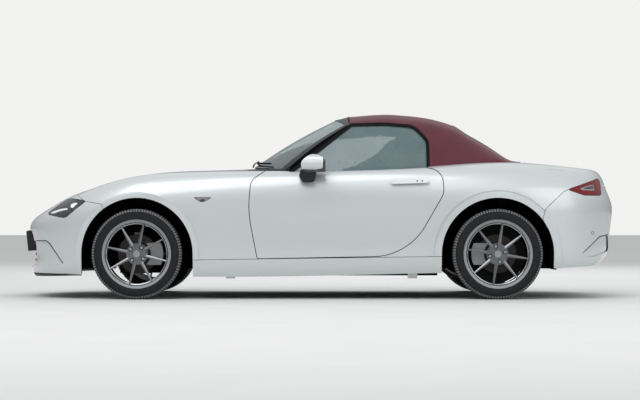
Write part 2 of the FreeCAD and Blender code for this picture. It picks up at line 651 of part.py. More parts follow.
# Places of the wheels: name, axle, half track, side, turn that the photo shows (degrees from +X towards +Z)
PLACES = [("fl", "front", FRONT, FRONT_WHEEL, -1, 8), ("fr", "front", FRONT, FRONT_WHEEL, 1, 8),
          ("rl", "rear", REAR, REAR_WHEEL, -1, 60), ("rr", "rear", REAR, REAR_WHEEL, 1, 60)]
for name, axle, x, half, side, turn in PLACES:
    for kind, source in (("tyre_", tyre), ("wheel_", wheels[axle])):
        shape = source.Shape.copy()
        if side < 0:
            shape = mirrored(shape)
        item = keep(kind + name, shape)
        item.Placement = FreeCAD.Placement(V(x, side * half, AXLE), FreeCAD.Rotation(V(0, 1, 0), -turn))

# Front corner: upright with stub axle, steering arm and caliper, on the right
def upright(axle, half, back):
    """Upright of one corner; back is +1 where the caliper sits behind the axle."""
    king = half - KING_INSET
    parts = [
        box(axle - 22, axle + 22, king - 20, king + 20, AXLE - 98, AXLE + 138),
        rod((axle, king, AXLE), (axle, king + 24, AXLE), 48),
        rod((axle, king + 20, AXLE), (axle, half + MOUNT - 12, AXLE), size("spindle_radius")),
    ]
    ring_out = rod((axle, king + 8, AXLE), (axle, half + 20, AXLE), 166)
    ring_in = rod((axle, king, AXLE), (axle, half + 40, AXLE), 86)
    slot = rod((axle, half + DISC_IN - 5, AXLE), (axle, half + DISC_IN + size("disc_thick") + 5, AXLE), 135)
    zone = box(60, 200, 0, 1200, AXLE - 70, AXLE + 70)
    zone = zone if back > 0 else box(-200, -60, 0, 1200, AXLE - 70, AXLE + 70)
    zone.translate(V(axle, 0, 0))
    caliper = ring_out.cut(ring_in).cut(slot).common(zone)
    bracket = box(10, 120, king + 4, king + 22, AXLE - 30, AXLE + 30)
    if back < 0:
        bracket = box(-120, -10, king + 4, king + 22, AXLE - 30, AXLE + 30)
    bracket.translate(V(axle, 0, 0))
    return joined(parts + [caliper, bracket])


def arms(axle, half, damper_x, links):
    """Wishbones, ball pins and damper of one corner; links are the upper arm's sides."""
    king = half - KING_INSET
    low = plan_cut([(axle - 26, king + 18, 20), (axle + 26, king + 18, 20), (axle + 130, 330, 12),
                    (axle + 96, 330, 4), (axle, king - 110, 30), (axle - 96, 330, 4), (axle - 130, 330, 12)],
                   AXLE - 125, AXLE - 103)
    high = [rod((axle + side * 14, king, AXLE + 156), (axle + side * 88, 400, AXLE + 160), 11) for side in links]
    high.append(rod((axle, king, AXLE + 143), (axle, king, AXLE + 168), 22))
    pins = [rod((axle, king, AXLE - 110), (axle, king, AXLE - 72), 8),
            rod((axle, king, AXLE + 112), (axle, king, AXLE + 150), 8)]
    mid = axle + damper_x
    damper = [rod((mid, king - 135, AXLE - 104), (mid, king - 152, AXLE + 60), 16),
              rod((mid, king - 152, AXLE + 60), (mid, king - 175, AXLE + 372), 30)]
    pivots = [rod((axle - 150, 330, AXLE - 114), (axle + 150, 330, AXLE - 114), 16),
              rod((axle - 110, 400, AXLE + 160), (axle + 110, 400, AXLE + 160), 14)]
    return low, high, pins, damper, pivots


def liner(axle):
    """Wheelhouse of the right side: a half drum with an inner wall that is open for arms and shafts."""
    wall = size("liner_thick")
    outer = rod((axle, 470, AXLE), (axle, 1000, AXLE), ARCH + 2 + wall)
    outer = outer.fuse(box(axle - ARCH - 2 - wall, axle + ARCH + 2 + wall, 470, 1000, 190, AXLE))
    hollow = rod((axle, 480, AXLE), (axle, 1010, AXLE), ARCH + 2)
    hollow = hollow.fuse(box(axle - ARCH - 2, axle + ARCH + 2, 480, 1010, 0, AXLE))
    opening = box(axle - 165, axle + 165, 400, 500, 0, AXLE + 200)
    return outer.cut(hollow).cut(opening).common(box(axle - 500, axle + 500, 400, HALF - 5, 190, 800))


shell_out = both(thick(belt, -200, SKIN + 12))
front_liner = liner(FRONT).cut(shell_out).cut(sill_bar)
rear_liner = liner(REAR).cut(shell_out).cut(sill_bar)
keep("inner_arches", both(Part.makeCompound([solids(front_liner), solids(rear_liner)])))

knuckle = upright(FRONT, FRONT_WHEEL, 1)
ARM_X = FRONT - size("steer_arm")
knuckle = joined([knuckle, box(ARM_X - 12, FRONT - 10, KINGPIN - 9, KINGPIN + 9, 262, 280)])
pin_bores = rod((FRONT, KINGPIN, AXLE - 120), (FRONT, KINGPIN, AXLE - 68), 8.3)
pin_bores = pin_bores.fuse(rod((FRONT, KINGPIN, AXLE + 108), (FRONT, KINGPIN, AXLE + 160), 8.3))
knuckle = knuckle.cut(pin_bores)
keep("knuckle_right", knuckle)
keep("knuckle_left", mirrored(knuckle))

low, high, pins, damper, pivots = arms(FRONT, FRONT_WHEEL, 0, (-1, 1))
corner = joined([low] + high + pins + damper + pivots).cut(liner(FRONT))
subframe = joined([
    box(FRONT - 60, FRONT + 60, -440, 440, 158, 172),
    box(FRONT - 150, FRONT - 110, 300, 360, 158, 250),
    box(FRONT + 110, FRONT + 150, 300, 360, 158, 250),
    box(FRONT - 150, FRONT + 150, 300, 330, 158, 250),
])
subframe = subframe.fuse(box(FRONT - 110, FRONT + 110, 386, 414, 400, AXLE + 160))
RACK_Z = 244
rack_bore = rod((ARM_X, -500, RACK_Z), (ARM_X, 500, RACK_Z), 12.4)
rack_tube = rod((ARM_X, -300, RACK_Z), (ARM_X, 300, RACK_Z), 26)
for y in (-300, 260):
    rack_tube = rack_tube.fuse(box(ARM_X - 20, ARM_X + 60, y, y + 40, 165, 250))
front_suspension = joined([corner, mirrored(corner), subframe, mirrored(subframe), rack_tube]).cut(rack_bore)
keep("front_suspension", solids(front_suspension))
rack_parts = [rod((ARM_X, -KINGPIN, RACK_Z), (ARM_X, KINGPIN, RACK_Z), 12)]
rack_parts += [rod((ARM_X, y, RACK_Z - 10), (ARM_X, y, RACK_Z + 11), 15) for y in (-KINGPIN, KINGPIN)]
keep("steering_rack", joined(rack_parts))

low, high, pins, damper, pivots = arms(REAR, REAR_WHEEL, 48, (-1,))
corner = joined([low] + high + pins + damper + pivots + [upright(REAR, REAR_WHEEL, -1)]).cut(liner(REAR))
bars = [box(REAR + x - 20, REAR + x + 20, -440, 440, 170, 250) for x in (-150, 150)]
posts = box(REAR - 110, REAR + 110, 386, 414, 430, AXLE + 160)
rear_suspension = joined([corner, mirrored(corner), posts, mirrored(posts)] + bars)
DIFF = rod((REAR, -70, AXLE), (REAR, 70, AXLE), 105)
rear_king = REAR_WHEEL - KING_INSET
gearbox = rod((-700, 0, 288), (-230, 0, 288), 98)
prop = rod((-230, 0, 288), (REAR - 80, 0, AXLE), 32)
shafts = rod((REAR, -rear_king + 20, AXLE), (REAR, rear_king - 20, AXLE), 17)
drivetrain = joined([gearbox, prop, DIFF, shafts])
keep("drivetrain", drivetrain.cut(rear_suspension))
keep("rear_suspension", solids(rear_suspension))

# Engine and radiator
ENGINE_X = -700 - size("engine_length")
ENGINE_Z = 270
engine = put("Box", "engine", (ENGINE_X, -size("engine_width") / 2, ENGINE_Z), Length="sizes.engine_length",
             Width="sizes.engine_width", Height="sizes.engine_height")
radiator = put("Box", "radiator", (-1710, -size("rail_gap") / 2, 250), Length="sizes.radiator_thick",
               Width="sizes.rail_gap", Height=340)
doc.recompute()

# Exhaust: straight runs with round corners
def pipe(points, radius):
    points = [V(*p) for p in points]
    edges, start = [], points[0]
    for before, corner, after in zip(points, points[1:], points[2:]):
        u, w = before - corner, after - corner
        reach = min(u.Length, w.Length) * 0.45
        u.normalize()
        w.normalize()
        half = u + w
        half.normalize()
        angle = u.getAngle(w) / 2
        bend = reach * math.tan(angle)
        first, last = corner + u * reach, corner + w * reach
        edges.append(Part.makeLine(start, first))
        edges.append(Part.Arc(first, corner + half * (bend / math.sin(angle) - bend), last).toShape())
        start = last
    edges.append(Part.makeLine(start, points[-1]))
    ring = Part.Wire(Part.Circle(points[0], points[1] - points[0], radius).toShape())
    made = Part.Wire(edges).makePipeShell([ring], True, True)
    if made.Volume < 0:
        made.reverse()
    return made


silencer = front_cut([(60, 215, 50), (60, 335, 50), (560, 335, 50), (560, 215, 50)], 1560, 1760)
run = [(-780, 150, ENGINE_Z - SEAT), (-780, 150, 220), (-690, 60, 158), (-600, 0, 157), (-200, 0, 157),
       (-60, 62, 215), (800, 62, 215), (890, 150, 137), (1360, 150, 137), (1460, 250, 250), (1570, 250, 265)]
exhaust = [pipe(run, 24), silencer]
TIPS = (420, 510)
for y in TIPS:
    exhaust.append(rod((1740, y, 250), (1900, y, 235), 36).cut(rod((1800, y, 244.4), (1960, y, 229.4), 31)))
keep("exhaust", joined(exhaust))

# Inner body shell behind the outer panels, and the tub
shell = thick(belt, SKIN, SKIN + 12).cut(arches).cut(lid_opening)
shell = shell.cut(side_cut(door_outline, 12)).cut(side_cut(sill_outline, SEAM))
shell = shell.cut(front_cut(mouth_outline, -2100, -1700))
tip_space = Part.makeCompound([rod((1700, y, 254), (2100, y, 216), 48) for y in TIPS])
keep("inner_body", solids(whole(shell).cut(grille).cut(tip_space)))

rear_skin = doc.getObject("rear_bumper")
rear_skin.Shape = solids(rear_skin.Shape.cut(tip_space))

lo, hi = size("floor_height"), size("floor_height") + size("floor_thick")
TUNNEL = size("tunnel_half")
tunnel_top = size("tunnel_top")
half_rail = size("rail_gap") / 2
tub = [
    box(-640, 745, -700, 700, lo, hi),
    box(-640, 745, -TUNNEL, TUNNEL, lo, tunnel_top),
    box(-640, -620, -900, 900, lo, 790),
    box(735, 754, -676, 676, lo, 668),
    box(735, 1320, -640, 640, 668, 684),
    box(BOOT_WALL - 12, BOOT_WALL, -600, 600, 440, 868),
    box(BOOT_WALL - 2, 1850, -460, 460, 430, 444),
    box(BOOT_WALL - 2, 1850, -460, -448, 430, 790),
    box(BOOT_WALL - 2, 1850, 448, 460, 430, 790),
    box(BOOT_WALL - 2, 1880, -640, 640, 778, 790).cut(box(BOOT_WALL + 10, 1760, -448, 448, 700, 800)),
    box(1748, 1760, -460, 460, 430, 790),
    box(-535, -490, -200, 200, 600, 900),
    box(-640, -490, -200, 200, 600, 620),
    box(-1830, -1790, -620, 620, 300, 400),
]
for side in (-1, 1):
    y = [side * half_rail, side * (half_rail + 85)]
    tub.append(box(-1830, -620, min(y), max(y), 300, 400))
    tub.append(box(745, 1800, min(y), max(y), 340, 430))
    mount = [side * size("engine_width") / 2, side * half_rail]
    tub.append(box(-950, -880, min(mount), max(mount), 320, 390))
    outer = [side * (half_rail + 80), side * 471]
    for x in (FRONT - 330, FRONT + 230, REAR - 300, REAR + 230):
        tub.append(box(x, x + 60, min(outer), max(outer), 340, 400))
    for x in (-640, 700):
        tub.append(box(x, x + 40, min(side * 600, side * 680), max(side * 600, side * 680), lo, 640))
    seat_y = side * size("seat_middle")
    for dy in (-190, 150):
        tub.append(box(90, 520, seat_y + dy, seat_y + dy + 40, lo, 250))
tub = joined(tub)
hem_line = [(690, 800, 1), (830, 834, 60), (950, 850, 60), (1180, 856, 60), (BOOT_WALL, 856, 1), (BOOT_WALL, 868, 1),
            (1180, 868, 60), (950, 862, 60), (830, 846, 60), (690, 816, 1)]
hem_frame = side_cut(hem_line, 0, -900, 900)
hem_frame = hem_frame.cut(box(0, 1230, -500, 500, 700, 1000)).cut(both(box(600, 830, 676, 1000, 0, 1000)))
under_hem = side_cut([(600, 600, 1), (600, 798, 1), (690, 808, 1), (830, 842, 1), (900, 600, 1)], 0, -900, 900)
struts = both(box(735, 755, 600, 660, 640, 860)).common(under_hem)
tub = joined([tub, hem_frame, struts])
tunnel_inside = box(-660, 760, -TUNNEL + 15, TUNNEL - 15, lo - 10, tunnel_top - 15)
tub = tub.cut(tunnel_inside).cut(shell_out).cut(both(sill_bar)).cut(both(liner(FRONT).fuse(liner(REAR))))
wheel_space = [rod((axle, 470, AXLE), (axle, 1000, AXLE), ARCH + 10) for axle in (FRONT, REAR)]
tub = tub.cut(both(wheel_space[0].fuse(wheel_space[1])))
lid_space = joined([thick(bonnet_grid, 400, -30).common(box(-2100, -545, -900, 900, 0, 1500)),
                    thick(bonnet_grid, 400, -22).common(box(-545, -200, -900, 900, 0, 1500)),
                    thick(deck_grid, 400, -26).common(box(1319, 2100, -900, 900, 0, 1500))])
tub = tub.cut(lid_space).cut(silencer)
for name in ("radiator", "engine", "front_suspension", "rear_suspension", "exhaust", "soft_top"):
    tub = tub.cut(doc.getObject(name).Shape)
keep("floor_tub", solids(tub.common(box(-2100, BOOT_WALL, -1000, 1000, 0, 1200))))
keep("boot_tub", solids(tub.common(box(BOOT_WALL + SEAT, 2100, -1000, 1000, 0, 1200))))

# Cabin
dash = side_cut([(-490, 600, 20), (-490, 806, 10), (-240, 810, 60), (-170, 740, 40), (-230, 600, 60)], 0, -640, 640)
console = joined([
    box(-300, 640, -95, 95, tunnel_top, 500),
    box(-300, -210, -95, 95, 490, 620),
    rod((60, 0, 495), (75, 0, 590), 9),
    Part.makeSphere(24, V(76, 0, 600)),
    rod((250, 50, 505), (420, 50, 560), 12),
])
AIM = V(math.cos(math.radians(24)), 0, math.sin(math.radians(24)))
hub = V(10, -size("seat_middle"), 742)
shroud = rod(tuple(hub - AIM * 300), tuple(hub - AIM * 62), 46)
shroud = shroud.cut(rod(tuple(hub - AIM * 120), tuple(hub), 14.4))
dashboard = joined([dash, console, shroud]).cut(rod(tuple(hub - AIM * 120), tuple(hub), 14.4))
dashboard = solids(dashboard.cut(thick(bonnet_grid, 300, -36)))
keep("dashboard", dashboard)
ring_radius = size("steering_wheel_radius") - 16
wheel_ring = Part.makeTorus(ring_radius, 16, hub, AIM)
flat = V(0, 1, 0)
down = flat.cross(AIM)
spokes = [rod(tuple(hub), tuple(hub + d * ring_radius), 11) for d in (flat, flat * -1, down)]
boss_shape = rod(tuple(hub - AIM * 56), tuple(hub + AIM * 10), 58)
wheel_shaft = rod(tuple(hub - AIM * 110), tuple(hub), 14)
steering_wheel = joined([wheel_ring, boss_shape, wheel_shaft] + spokes)
keep("steering_wheel", steering_wheel)

seat_side = side_cut([(30, 250, 25), (30, 375, 40), (400, 335, 70), (560, 860, 300), (590, 1050, 40), (680, 1060, 40),
                      (676, 860, 300), (560, 250, 60)], 0, -300, 300)
seat_front = front_cut([(-235, 250, 30), (-235, 790, 100), (-135, 1075, 60), (135, 1075, 60), (235, 790, 100),
                        (235, 250, 30)], 0, 800)
seat = seat_side.common(seat_front)
for name, side in (("seat_right", 1), ("seat_left", -1)):
    item = keep(name, seat)
    item.Placement = FreeCAD.Placement(V(0, side * size("seat_middle"), 0), FreeCAD.Rotation())

# Door handles and mirrors
bar = thick(belt, -26, -10).common(side_cut([(448, 770, 15), (448, 738, 15), (690, 745, 15), (690, 778, 15)]))
front_foot = side_cut([(455, 765, 5), (455, 742, 5), (490, 742, 5), (490, 765, 5)])
rear_foot = side_cut([(650, 772, 5), (650, 748, 5), (685, 748, 5), (685, 772, 5)])
feet = thick(belt, -12, 1).common(front_foot.fuse(rear_foot))
door = joined([door_only, bar, feet])
mirror_front = [(778, 820, 20), (770, 925, 35), (928, 930, 50), (948, 850, 40), (900, 812, 30)]
mirror_side = [(-140, 868, 45), (-102, 813, 30), (30, 812, 12), (30, 895, 24), (-52, 941, 75)]
mirror = front_cut(mirror_front, -300, 300).common(side_cut(mirror_side))
foot = side_cut([(-140, 790, 25), (-120, 748, 25), (-40, 748, 25), (-25, 835, 10), (-125, 835, 10)], 0, 700, 850)
mirror = joined([mirror, foot]).cut(thick(belt, 0, 300)).cut(door).cut(thick(cabin, 0, -100))

for side, flip in (("right", False), ("left", True)):
    for name, shape in (("door_", door), ("side_glass_", side_glass), ("mirror_", solids(mirror))):
        keep(name + side, mirrored(shape) if flip else shape)

# Check and write
doc.recompute()
for item in doc.Objects:
    faults = [word for word in item.State if word in ("Invalid", "Error")]
    if faults:
        raise RuntimeError("%s is %s" % (item.Label, faults[0]))
for name in node_names:
    shape = doc.getObject(name).Shape
    if shape.isNull() or not shape.isValid() or not all(shell.isClosed() for shell in shape.Shells):
        raise RuntimeError("%s has no valid closed shape" % name)
os.makedirs("parts", exist_ok=True)
for name in node_names:
    doc.getObject(name).Shape.exportStep("parts/%s.step" % name)
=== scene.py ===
import json
import math

import bpy
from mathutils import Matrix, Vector

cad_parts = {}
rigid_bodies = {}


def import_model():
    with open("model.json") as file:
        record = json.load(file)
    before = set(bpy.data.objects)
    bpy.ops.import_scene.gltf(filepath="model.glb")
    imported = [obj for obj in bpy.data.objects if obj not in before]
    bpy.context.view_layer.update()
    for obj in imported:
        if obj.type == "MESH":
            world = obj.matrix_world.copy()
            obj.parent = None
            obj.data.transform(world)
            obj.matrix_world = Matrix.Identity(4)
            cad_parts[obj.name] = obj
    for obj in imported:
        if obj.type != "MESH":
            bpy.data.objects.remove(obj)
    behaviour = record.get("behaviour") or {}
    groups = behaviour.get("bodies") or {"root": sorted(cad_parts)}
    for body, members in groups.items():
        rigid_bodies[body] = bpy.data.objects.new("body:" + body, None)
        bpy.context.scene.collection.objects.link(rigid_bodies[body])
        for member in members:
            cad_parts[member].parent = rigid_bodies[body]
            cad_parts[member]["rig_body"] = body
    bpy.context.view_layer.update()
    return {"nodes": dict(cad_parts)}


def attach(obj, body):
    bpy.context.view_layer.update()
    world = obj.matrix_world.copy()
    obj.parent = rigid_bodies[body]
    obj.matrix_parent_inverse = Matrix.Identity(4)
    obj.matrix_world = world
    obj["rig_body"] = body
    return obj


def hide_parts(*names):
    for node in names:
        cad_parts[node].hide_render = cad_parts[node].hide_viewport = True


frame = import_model()
nodes = frame["nodes"]
bpy.ops.object.select_all(action="DESELECT")
scene = bpy.context.scene
scene.view_settings.view_transform = "Standard"

# Camera
# The photograph looks square at the car's left side from about fourteen metres, from half a metre up.
# The lens is long, so the near wheels and the far edge of the roof differ little in scale.
CAMERA_SPOT = (-0.005, -14.0, 0.5)
CAMERA_TILT = math.radians(90.59)
bpy.ops.object.camera_add(location=CAMERA_SPOT, rotation=(CAMERA_TILT, 0, 0))
camera = bpy.context.object
camera.data.sensor_width = 36
camera.data.lens = 115.9
camera.data.clip_end = 200
scene.camera = camera


# Floor, lamps and backdrop
# A pale studio: one wide floor and three soft lamps as large as the car.
# The world is brighter overhead than at its edge, so that lacquer and glass have something to reflect.
def colour(code):
    """sRGB hex value as the linear colour that nodes take."""
    parts = [int(code[i:i + 2], 16) / 255 for i in (1, 3, 5)]
    return [p / 12.92 if p <= 0.04045 else ((p + 0.055) / 1.055) ** 2.4 for p in parts] + [1.0]


def add(tree, kind, inputs=None, **settings):
    """One shader node with its settings; an input takes a value or another node's output."""
    made = tree.nodes.new("ShaderNode" + kind)
    for name, value in settings.items():
        setattr(made, name, value)
    for socket, value in (inputs or {}).items():
        if isinstance(value, bpy.types.NodeSocket):
            tree.links.new(value, made.inputs[socket])
        else:
            made.inputs[socket].default_value = value
    return made


def finish(name, code, roughness, metallic=0.0, **sockets):
    """A material, its node tree and its shader, with what is the same all over set on the shader."""
    made = bpy.data.materials.new(name)
    made.use_nodes = True
    shader = made.node_tree.nodes["Principled BSDF"]
    shader.inputs["Base Color"].default_value = colour(code)
    shader.inputs["Roughness"].default_value = roughness
    shader.inputs["Metallic"].default_value = metallic
    for socket, value in sockets.items():
        shader.inputs[socket.replace("_", " ")].default_value = value
    return made, made.node_tree, shader


bpy.ops.mesh.primitive_plane_add(size=120)
floor = bpy.context.object
floor.name = "floor"
# Sealed concrete, power-floated: faint pale clouds half a metre across.
concrete, tree, shader = finish("power_floated_concrete", "#DCDCDA", 0.85)
place = add(tree, "TexCoord")
clouds = add(tree, "TexNoise", {"Vector": place.outputs["Object"], "Scale": 2.0, "Detail": 6.0})
tones = add(tree, "MixRGB", {"Fac": clouds.outputs["Fac"], "Color1": colour("#D8D8D6"), "Color2": colour("#E0E0DE")})
tree.links.new(tones.outputs["Color"], shader.inputs["Base Color"])
floor.data.materials.append(concrete)

world = bpy.data.worlds.new("studio")
scene.world = world
world.use_nodes = True
tree = world.node_tree
tree.nodes.clear()
place = add(tree, "TexCoord")
height = add(tree, "SeparateXYZ", {"Vector": place.outputs["Generated"]})
ramp = add(tree, "ValToRGB", {"Fac": height.outputs["Z"]})
ramp.color_ramp.elements[0].color = colour("#8A8F93")
ramp.color_ramp.elements[1].color = colour("#F4F6F8")
ramp.color_ramp.elements[1].position = 0.6
room = add(tree, "Background", {"Color": ramp.outputs["Color"], "Strength": 0.8})
white = add(tree, "Background", {"Color": colour("#F2F2F0"), "Strength": 1.0})
path = add(tree, "LightPath")
seen = add(tree, "MixShader", {0: path.outputs["Is Camera Ray"], 1: room.outputs[0], 2: white.outputs[0]})
add(tree, "OutputWorld", {"Surface": seen.outputs[0]})

# Lamps: name, place, width, power; all three face the middle of the car, and the back one leaves no glint
LAMPS = [
    ("key", (-2.5, -6.0, 7.0), 6.0, 300),
    ("fill", (5.5, -6.0, 3.5), 5.0, 110),
    ("back", (1.0, 6.0, 6.0), 7.0, 240),
]
for name, spot, size, power in LAMPS:
    bpy.ops.object.light_add(type="AREA", location=spot)
    lamp = bpy.context.object
    lamp.name = name
    lamp.data.energy = power
    lamp.data.size = size
    lamp.rotation_euler = (Vector((0, 0, 0.5)) - Vector(spot)).to_track_quat("-Z", "Y").to_euler()
    lamp.visible_glossy = name != "back"

# Painted panels
# Pressed steel and aluminium sheet in a pale silver metallic base coat under clear lacquer, with 5 mm shuts.
# The mica flakes are finer than a tenth of a millimetre, so they are drawn a millimetre across to show at all.
paint, tree, shader = finish("silver_mica_lacquer", "#CDD2D3", 0.38, 0.35, Coat_Weight=1.0, Coat_Roughness=0.03)
place = add(tree, "TexCoord")
flake = add(tree, "TexVoronoi", {"Vector": place.outputs["Object"], "Scale": 900.0})
tone = add(tree, "MixRGB", {"Fac": flake.outputs["Distance"]})
tone.inputs["Color1"].default_value = colour("#C9CFD1")
tone.inputs["Color2"].default_value = colour("#D6DADA")
tree.links.new(tone.outputs["Color"], shader.inputs["Base Color"])
peel = add(tree, "TexNoise", {"Vector": place.outputs["Object"], "Scale": 160.0, "Detail": 1.0})
waves = add(tree, "Bump", {"Height": peel.outputs["Fac"], "Strength": 0.02, "Distance": 0.001})
tree.links.new(waves.outputs["Normal"], shader.inputs["Coat Normal"])


def dress(materials, *names, pick=None):
    """Gives CAD nodes their finishes; pick turns a face's middle into the number of its finish."""
    for name in names:
        mesh = nodes[name].data
        mesh.materials.clear()
        for item in materials:
            mesh.materials.append(item)
        for face in mesh.polygons:
            face.material_index = pick(face.center) if pick else 0


dress([paint], "front_bumper", "front_fenders", "rear_bumper", "rear_quarters", "bonnet", "boot_lid", "sills",
      "door_left", "door_right")

# Windscreen frame
# Steel pillars, header and scuttle, welded to one frame round the screen.
# It is painted satin black, so it reflects only a dull band of light along the pillars.
satin_black, tree, shader = finish("satin_black_lacquer", "#0B0C0E", 0.4, Specular_IOR_Level=0.3, Coat_Weight=0.15)
dress([satin_black], "windscreen_frame")

# Glass
# Toughened side and rear glass and a laminated screen, 5 mm thick, drawn as float sheet and bent in a mould.
# It is clear and without roughness, with the faint green that iron gives to float glass.
glass, tree, shader = finish("tinted_float_glass", "#A9BDBB", 0.0, Transmission_Weight=1.0, IOR=1.52)
dress([glass], "windscreen_glass", "rear_window")
# The side panes stand upright and carry a painted reflection: about a third of their light is not let through but
# scattered as a pale teal in blurred patches, which stands for the reflection of their surroundings and veils what
# lies behind them.
reflection_veiled_glass, tree, shader = finish("deep_tinted_side_glass", "#8FA8AD", 0.0, Transmission_Weight=0.62, IOR=1.52)
place = add(tree, "TexCoord")
reflection_blurs = add(tree, "TexNoise", {"Vector": place.outputs["Object"], "Scale": 7.0, "Detail": 4.0})
tone = add(tree, "MixRGB", {"Fac": reflection_blurs.outputs["Fac"], "Color1": colour("#7D979E"), "Color2": colour("#A2B9BB")})
tree.links.new(tone.outputs["Color"], shader.inputs["Base Color"])
dress([reflection_veiled_glass], "side_glass_left", "side_glass_right")

# Grille, wheelhouse liners and dashboard
# Moulded polypropylene with a fine leathery grain, about 1 mm from cell to cell, which breaks up the shine.
moulded, tree, shader = finish("grained_polypropylene", "#17181A", 0.55)
place = add(tree, "TexCoord")
grain = add(tree, "TexVoronoi", {"Vector": place.outputs["Object"], "Scale": 700.0})
relief = add(tree, "Bump", {"Height": grain.outputs["Distance"], "Strength": 0.3, "Distance": 0.0004})
tree.links.new(relief.outputs["Normal"], shader.inputs["Normal"])
dress([moulded], "grille", "dashboard", "steering_wheel")
# Needled fibre lines the wheelhouses; it is matt and swallows light.
felt, tree, shader = finish("needled_fibre_liner", "#060607", 0.95, Specular_IOR_Level=0.1)
place = add(tree, "TexCoord")
fibres = add(tree, "TexNoise", {"Vector": place.outputs["Object"], "Scale": 400.0, "Detail": 4.0})
relief = add(tree, "Bump", {"Height": fibres.outputs["Fac"], "Strength": 0.5, "Distance": 0.001})
tree.links.new(relief.outputs["Normal"], shader.inputs["Normal"])
dress([felt], "inner_arches")

# Underbody
# Steel floor, inner panels and suspension in black underbody coating, with a stippled spray texture.
coating, tree, shader = finish("stippled_underbody_coating", "#0B0C0D", 0.75, Specular_IOR_Level=0.2)
place = add(tree, "TexCoord")
drops = add(tree, "TexNoise", {"Vector": place.outputs["Object"], "Scale": 250.0, "Detail": 2.0})
relief = add(tree, "Bump", {"Height": drops.outputs["Fac"], "Strength": 0.35, "Distance": 0.0008})
tree.links.new(relief.outputs["Normal"], shader.inputs["Normal"])
dress([coating], "inner_body", "floor_tub", "boot_tub", "front_suspension")

# Engine, gearbox, axle and steering
# Sand-cast aluminium and iron with a dull, slightly rough skin.
cast, tree, shader = finish("sand_cast_aluminium", "#8C8E90", 0.55, 1.0)
place = add(tree, "TexCoord")
skin = add(tree, "TexNoise", {"Vector": place.outputs["Object"], "Scale": 500.0, "Detail": 3.0})
relief = add(tree, "Bump", {"Height": skin.outputs["Fac"], "Strength": 0.3, "Distance": 0.0005})
tree.links.new(relief.outputs["Normal"], shader.inputs["Normal"])
dress([cast], "engine", "drivetrain", "radiator", "steering_rack")

# Exhaust
# Ferritic stainless tube and box, drawn and welded: a soft shine that runs in fine lines along the tube.
stainless, tree, shader = finish("drawn_stainless_tube", "#A9A7A3", 0.3, 1.0)
place = add(tree, "TexCoord")
lines = add(tree, "Mapping", {"Vector": place.outputs["Object"], "Scale": (20.0, 900.0, 900.0)})
drawn = add(tree, "TexNoise", {"Vector": lines.outputs["Vector"], "Scale": 1.0, "Detail": 2.0})
rough = add(tree, "MapRange", {"Value": drawn.outputs["Fac"], "To Min": 0.22, "To Max": 0.4})
tree.links.new(rough.outputs["Result"], shader.inputs["Roughness"])
dress([stainless], "exhaust")

# Lamps
# Hard-coated clear polycarbonate at the front, through which the black bowl shows, and dyed acrylic at the rear.
# Both are injection moulded and polished, with hardly any roughness.
clear_lens, tree, shader = finish("clear_polycarbonate", "#E8ECEE", 0.02, Transmission_Weight=1.0, IOR=1.58)
dress([clear_lens], "headlamps")
red_lens, tree, shader = finish("dyed_acrylic", "#7C0612", 0.06, Transmission_Weight=0.15, IOR=1.49)
dress([red_lens], "tail_lamps")

# Wheels
# One-piece cast alloy wheels, painted dark gunmetal under clear lacquer, with plain steel brake discs behind,
# painted darker than bare metal as shade inside the wheel. The barrels and nut recesses are darkened as painted
# shade, with some brake dust; lip, cap and nuts get a lighter copy of the lacquer as a painted highlight.
# Calipers are zinc-coated cast iron.
gunmetal, tree, shader = finish("gunmetal_wheel_lacquer", "#77797C", 0.26, 0.9, Coat_Weight=0.6, Coat_Roughness=0.05)
# A lighter copy of the gunmetal lacquer: a painted highlight on the lip, the bead hump, the cap and the nuts.
highlight_lacquer, tree, shader = finish("bright_wheel_lacquer", "#B4B7BA", 0.2, 1.0, Coat_Weight=0.8, Coat_Roughness=0.03)
# The discs' iron is painted dark grey, darker than bare metal: painted shade inside the wheel.
disc_iron_in_shade, tree, shader = finish("turned_cast_iron_disc", "#3F3C3A", 0.5, 1.0)
zinc, tree, shader = finish("zinc_coated_iron", "#96989A", 0.5, 0.7)
place = add(tree, "TexCoord")
skin = add(tree, "TexNoise", {"Vector": place.outputs["Object"], "Scale": 300.0, "Detail": 3.0})
relief = add(tree, "Bump", {"Height": skin.outputs["Fac"], "Strength": 0.3, "Distance": 0.0006})
tree.links.new(relief.outputs["Normal"], shader.inputs["Normal"])
# The barrels and nut recesses get a near-black lacquer without shine: painted shade where the wheel's inside lies in
# shadow, together with brake dust that varies in tone from place to place.
dust_and_shade_lacquer, tree, shader = finish("dust_dulled_lacquer", "#1D1D1E", 0.75, 0.2)
place = add(tree, "TexCoord")
dust_and_shade_patches = add(tree, "TexNoise", {"Vector": place.outputs["Object"], "Scale": 40.0, "Detail": 4.0})
tone = add(tree, "MixRGB", {"Fac": dust_and_shade_patches.outputs["Fac"], "Color1": colour("#0F0F10"), "Color2": colour("#201E1D")})
tree.links.new(tone.outputs["Color"], shader.inputs["Base Color"])
AXLES = {"f": -1.1775, "r": 1.1325}
HALF_TRACK = {"f": 0.7475, "r": 0.7525}
WHEEL_HEIGHT = 0.29
CORNERS = [(end, side, hand) for end in "fr" for side, hand in (("l", -1), ("r", 1))]
# Four nuts on their circle; degrees of the first one
NUT_CIRCLE = 0.05
FIRST_NUT = {"f": 53, "r": 105}
# Radii on a wheel, and how far its face stands out from its middle plane
NUT_RADIUS, RECESS_RADIUS, CAP_RADIUS = 0.0103, 0.0145, 0.028
DISC_RADIUS, BARREL_INNER, BARREL_OUTER, LIP_RADIUS = 0.132, 0.17, 0.199, 0.2
FACE_OUT = 0.08
GUNMETAL, DISC, DUST_AND_SHADE, HIGHLIGHT = range(4)


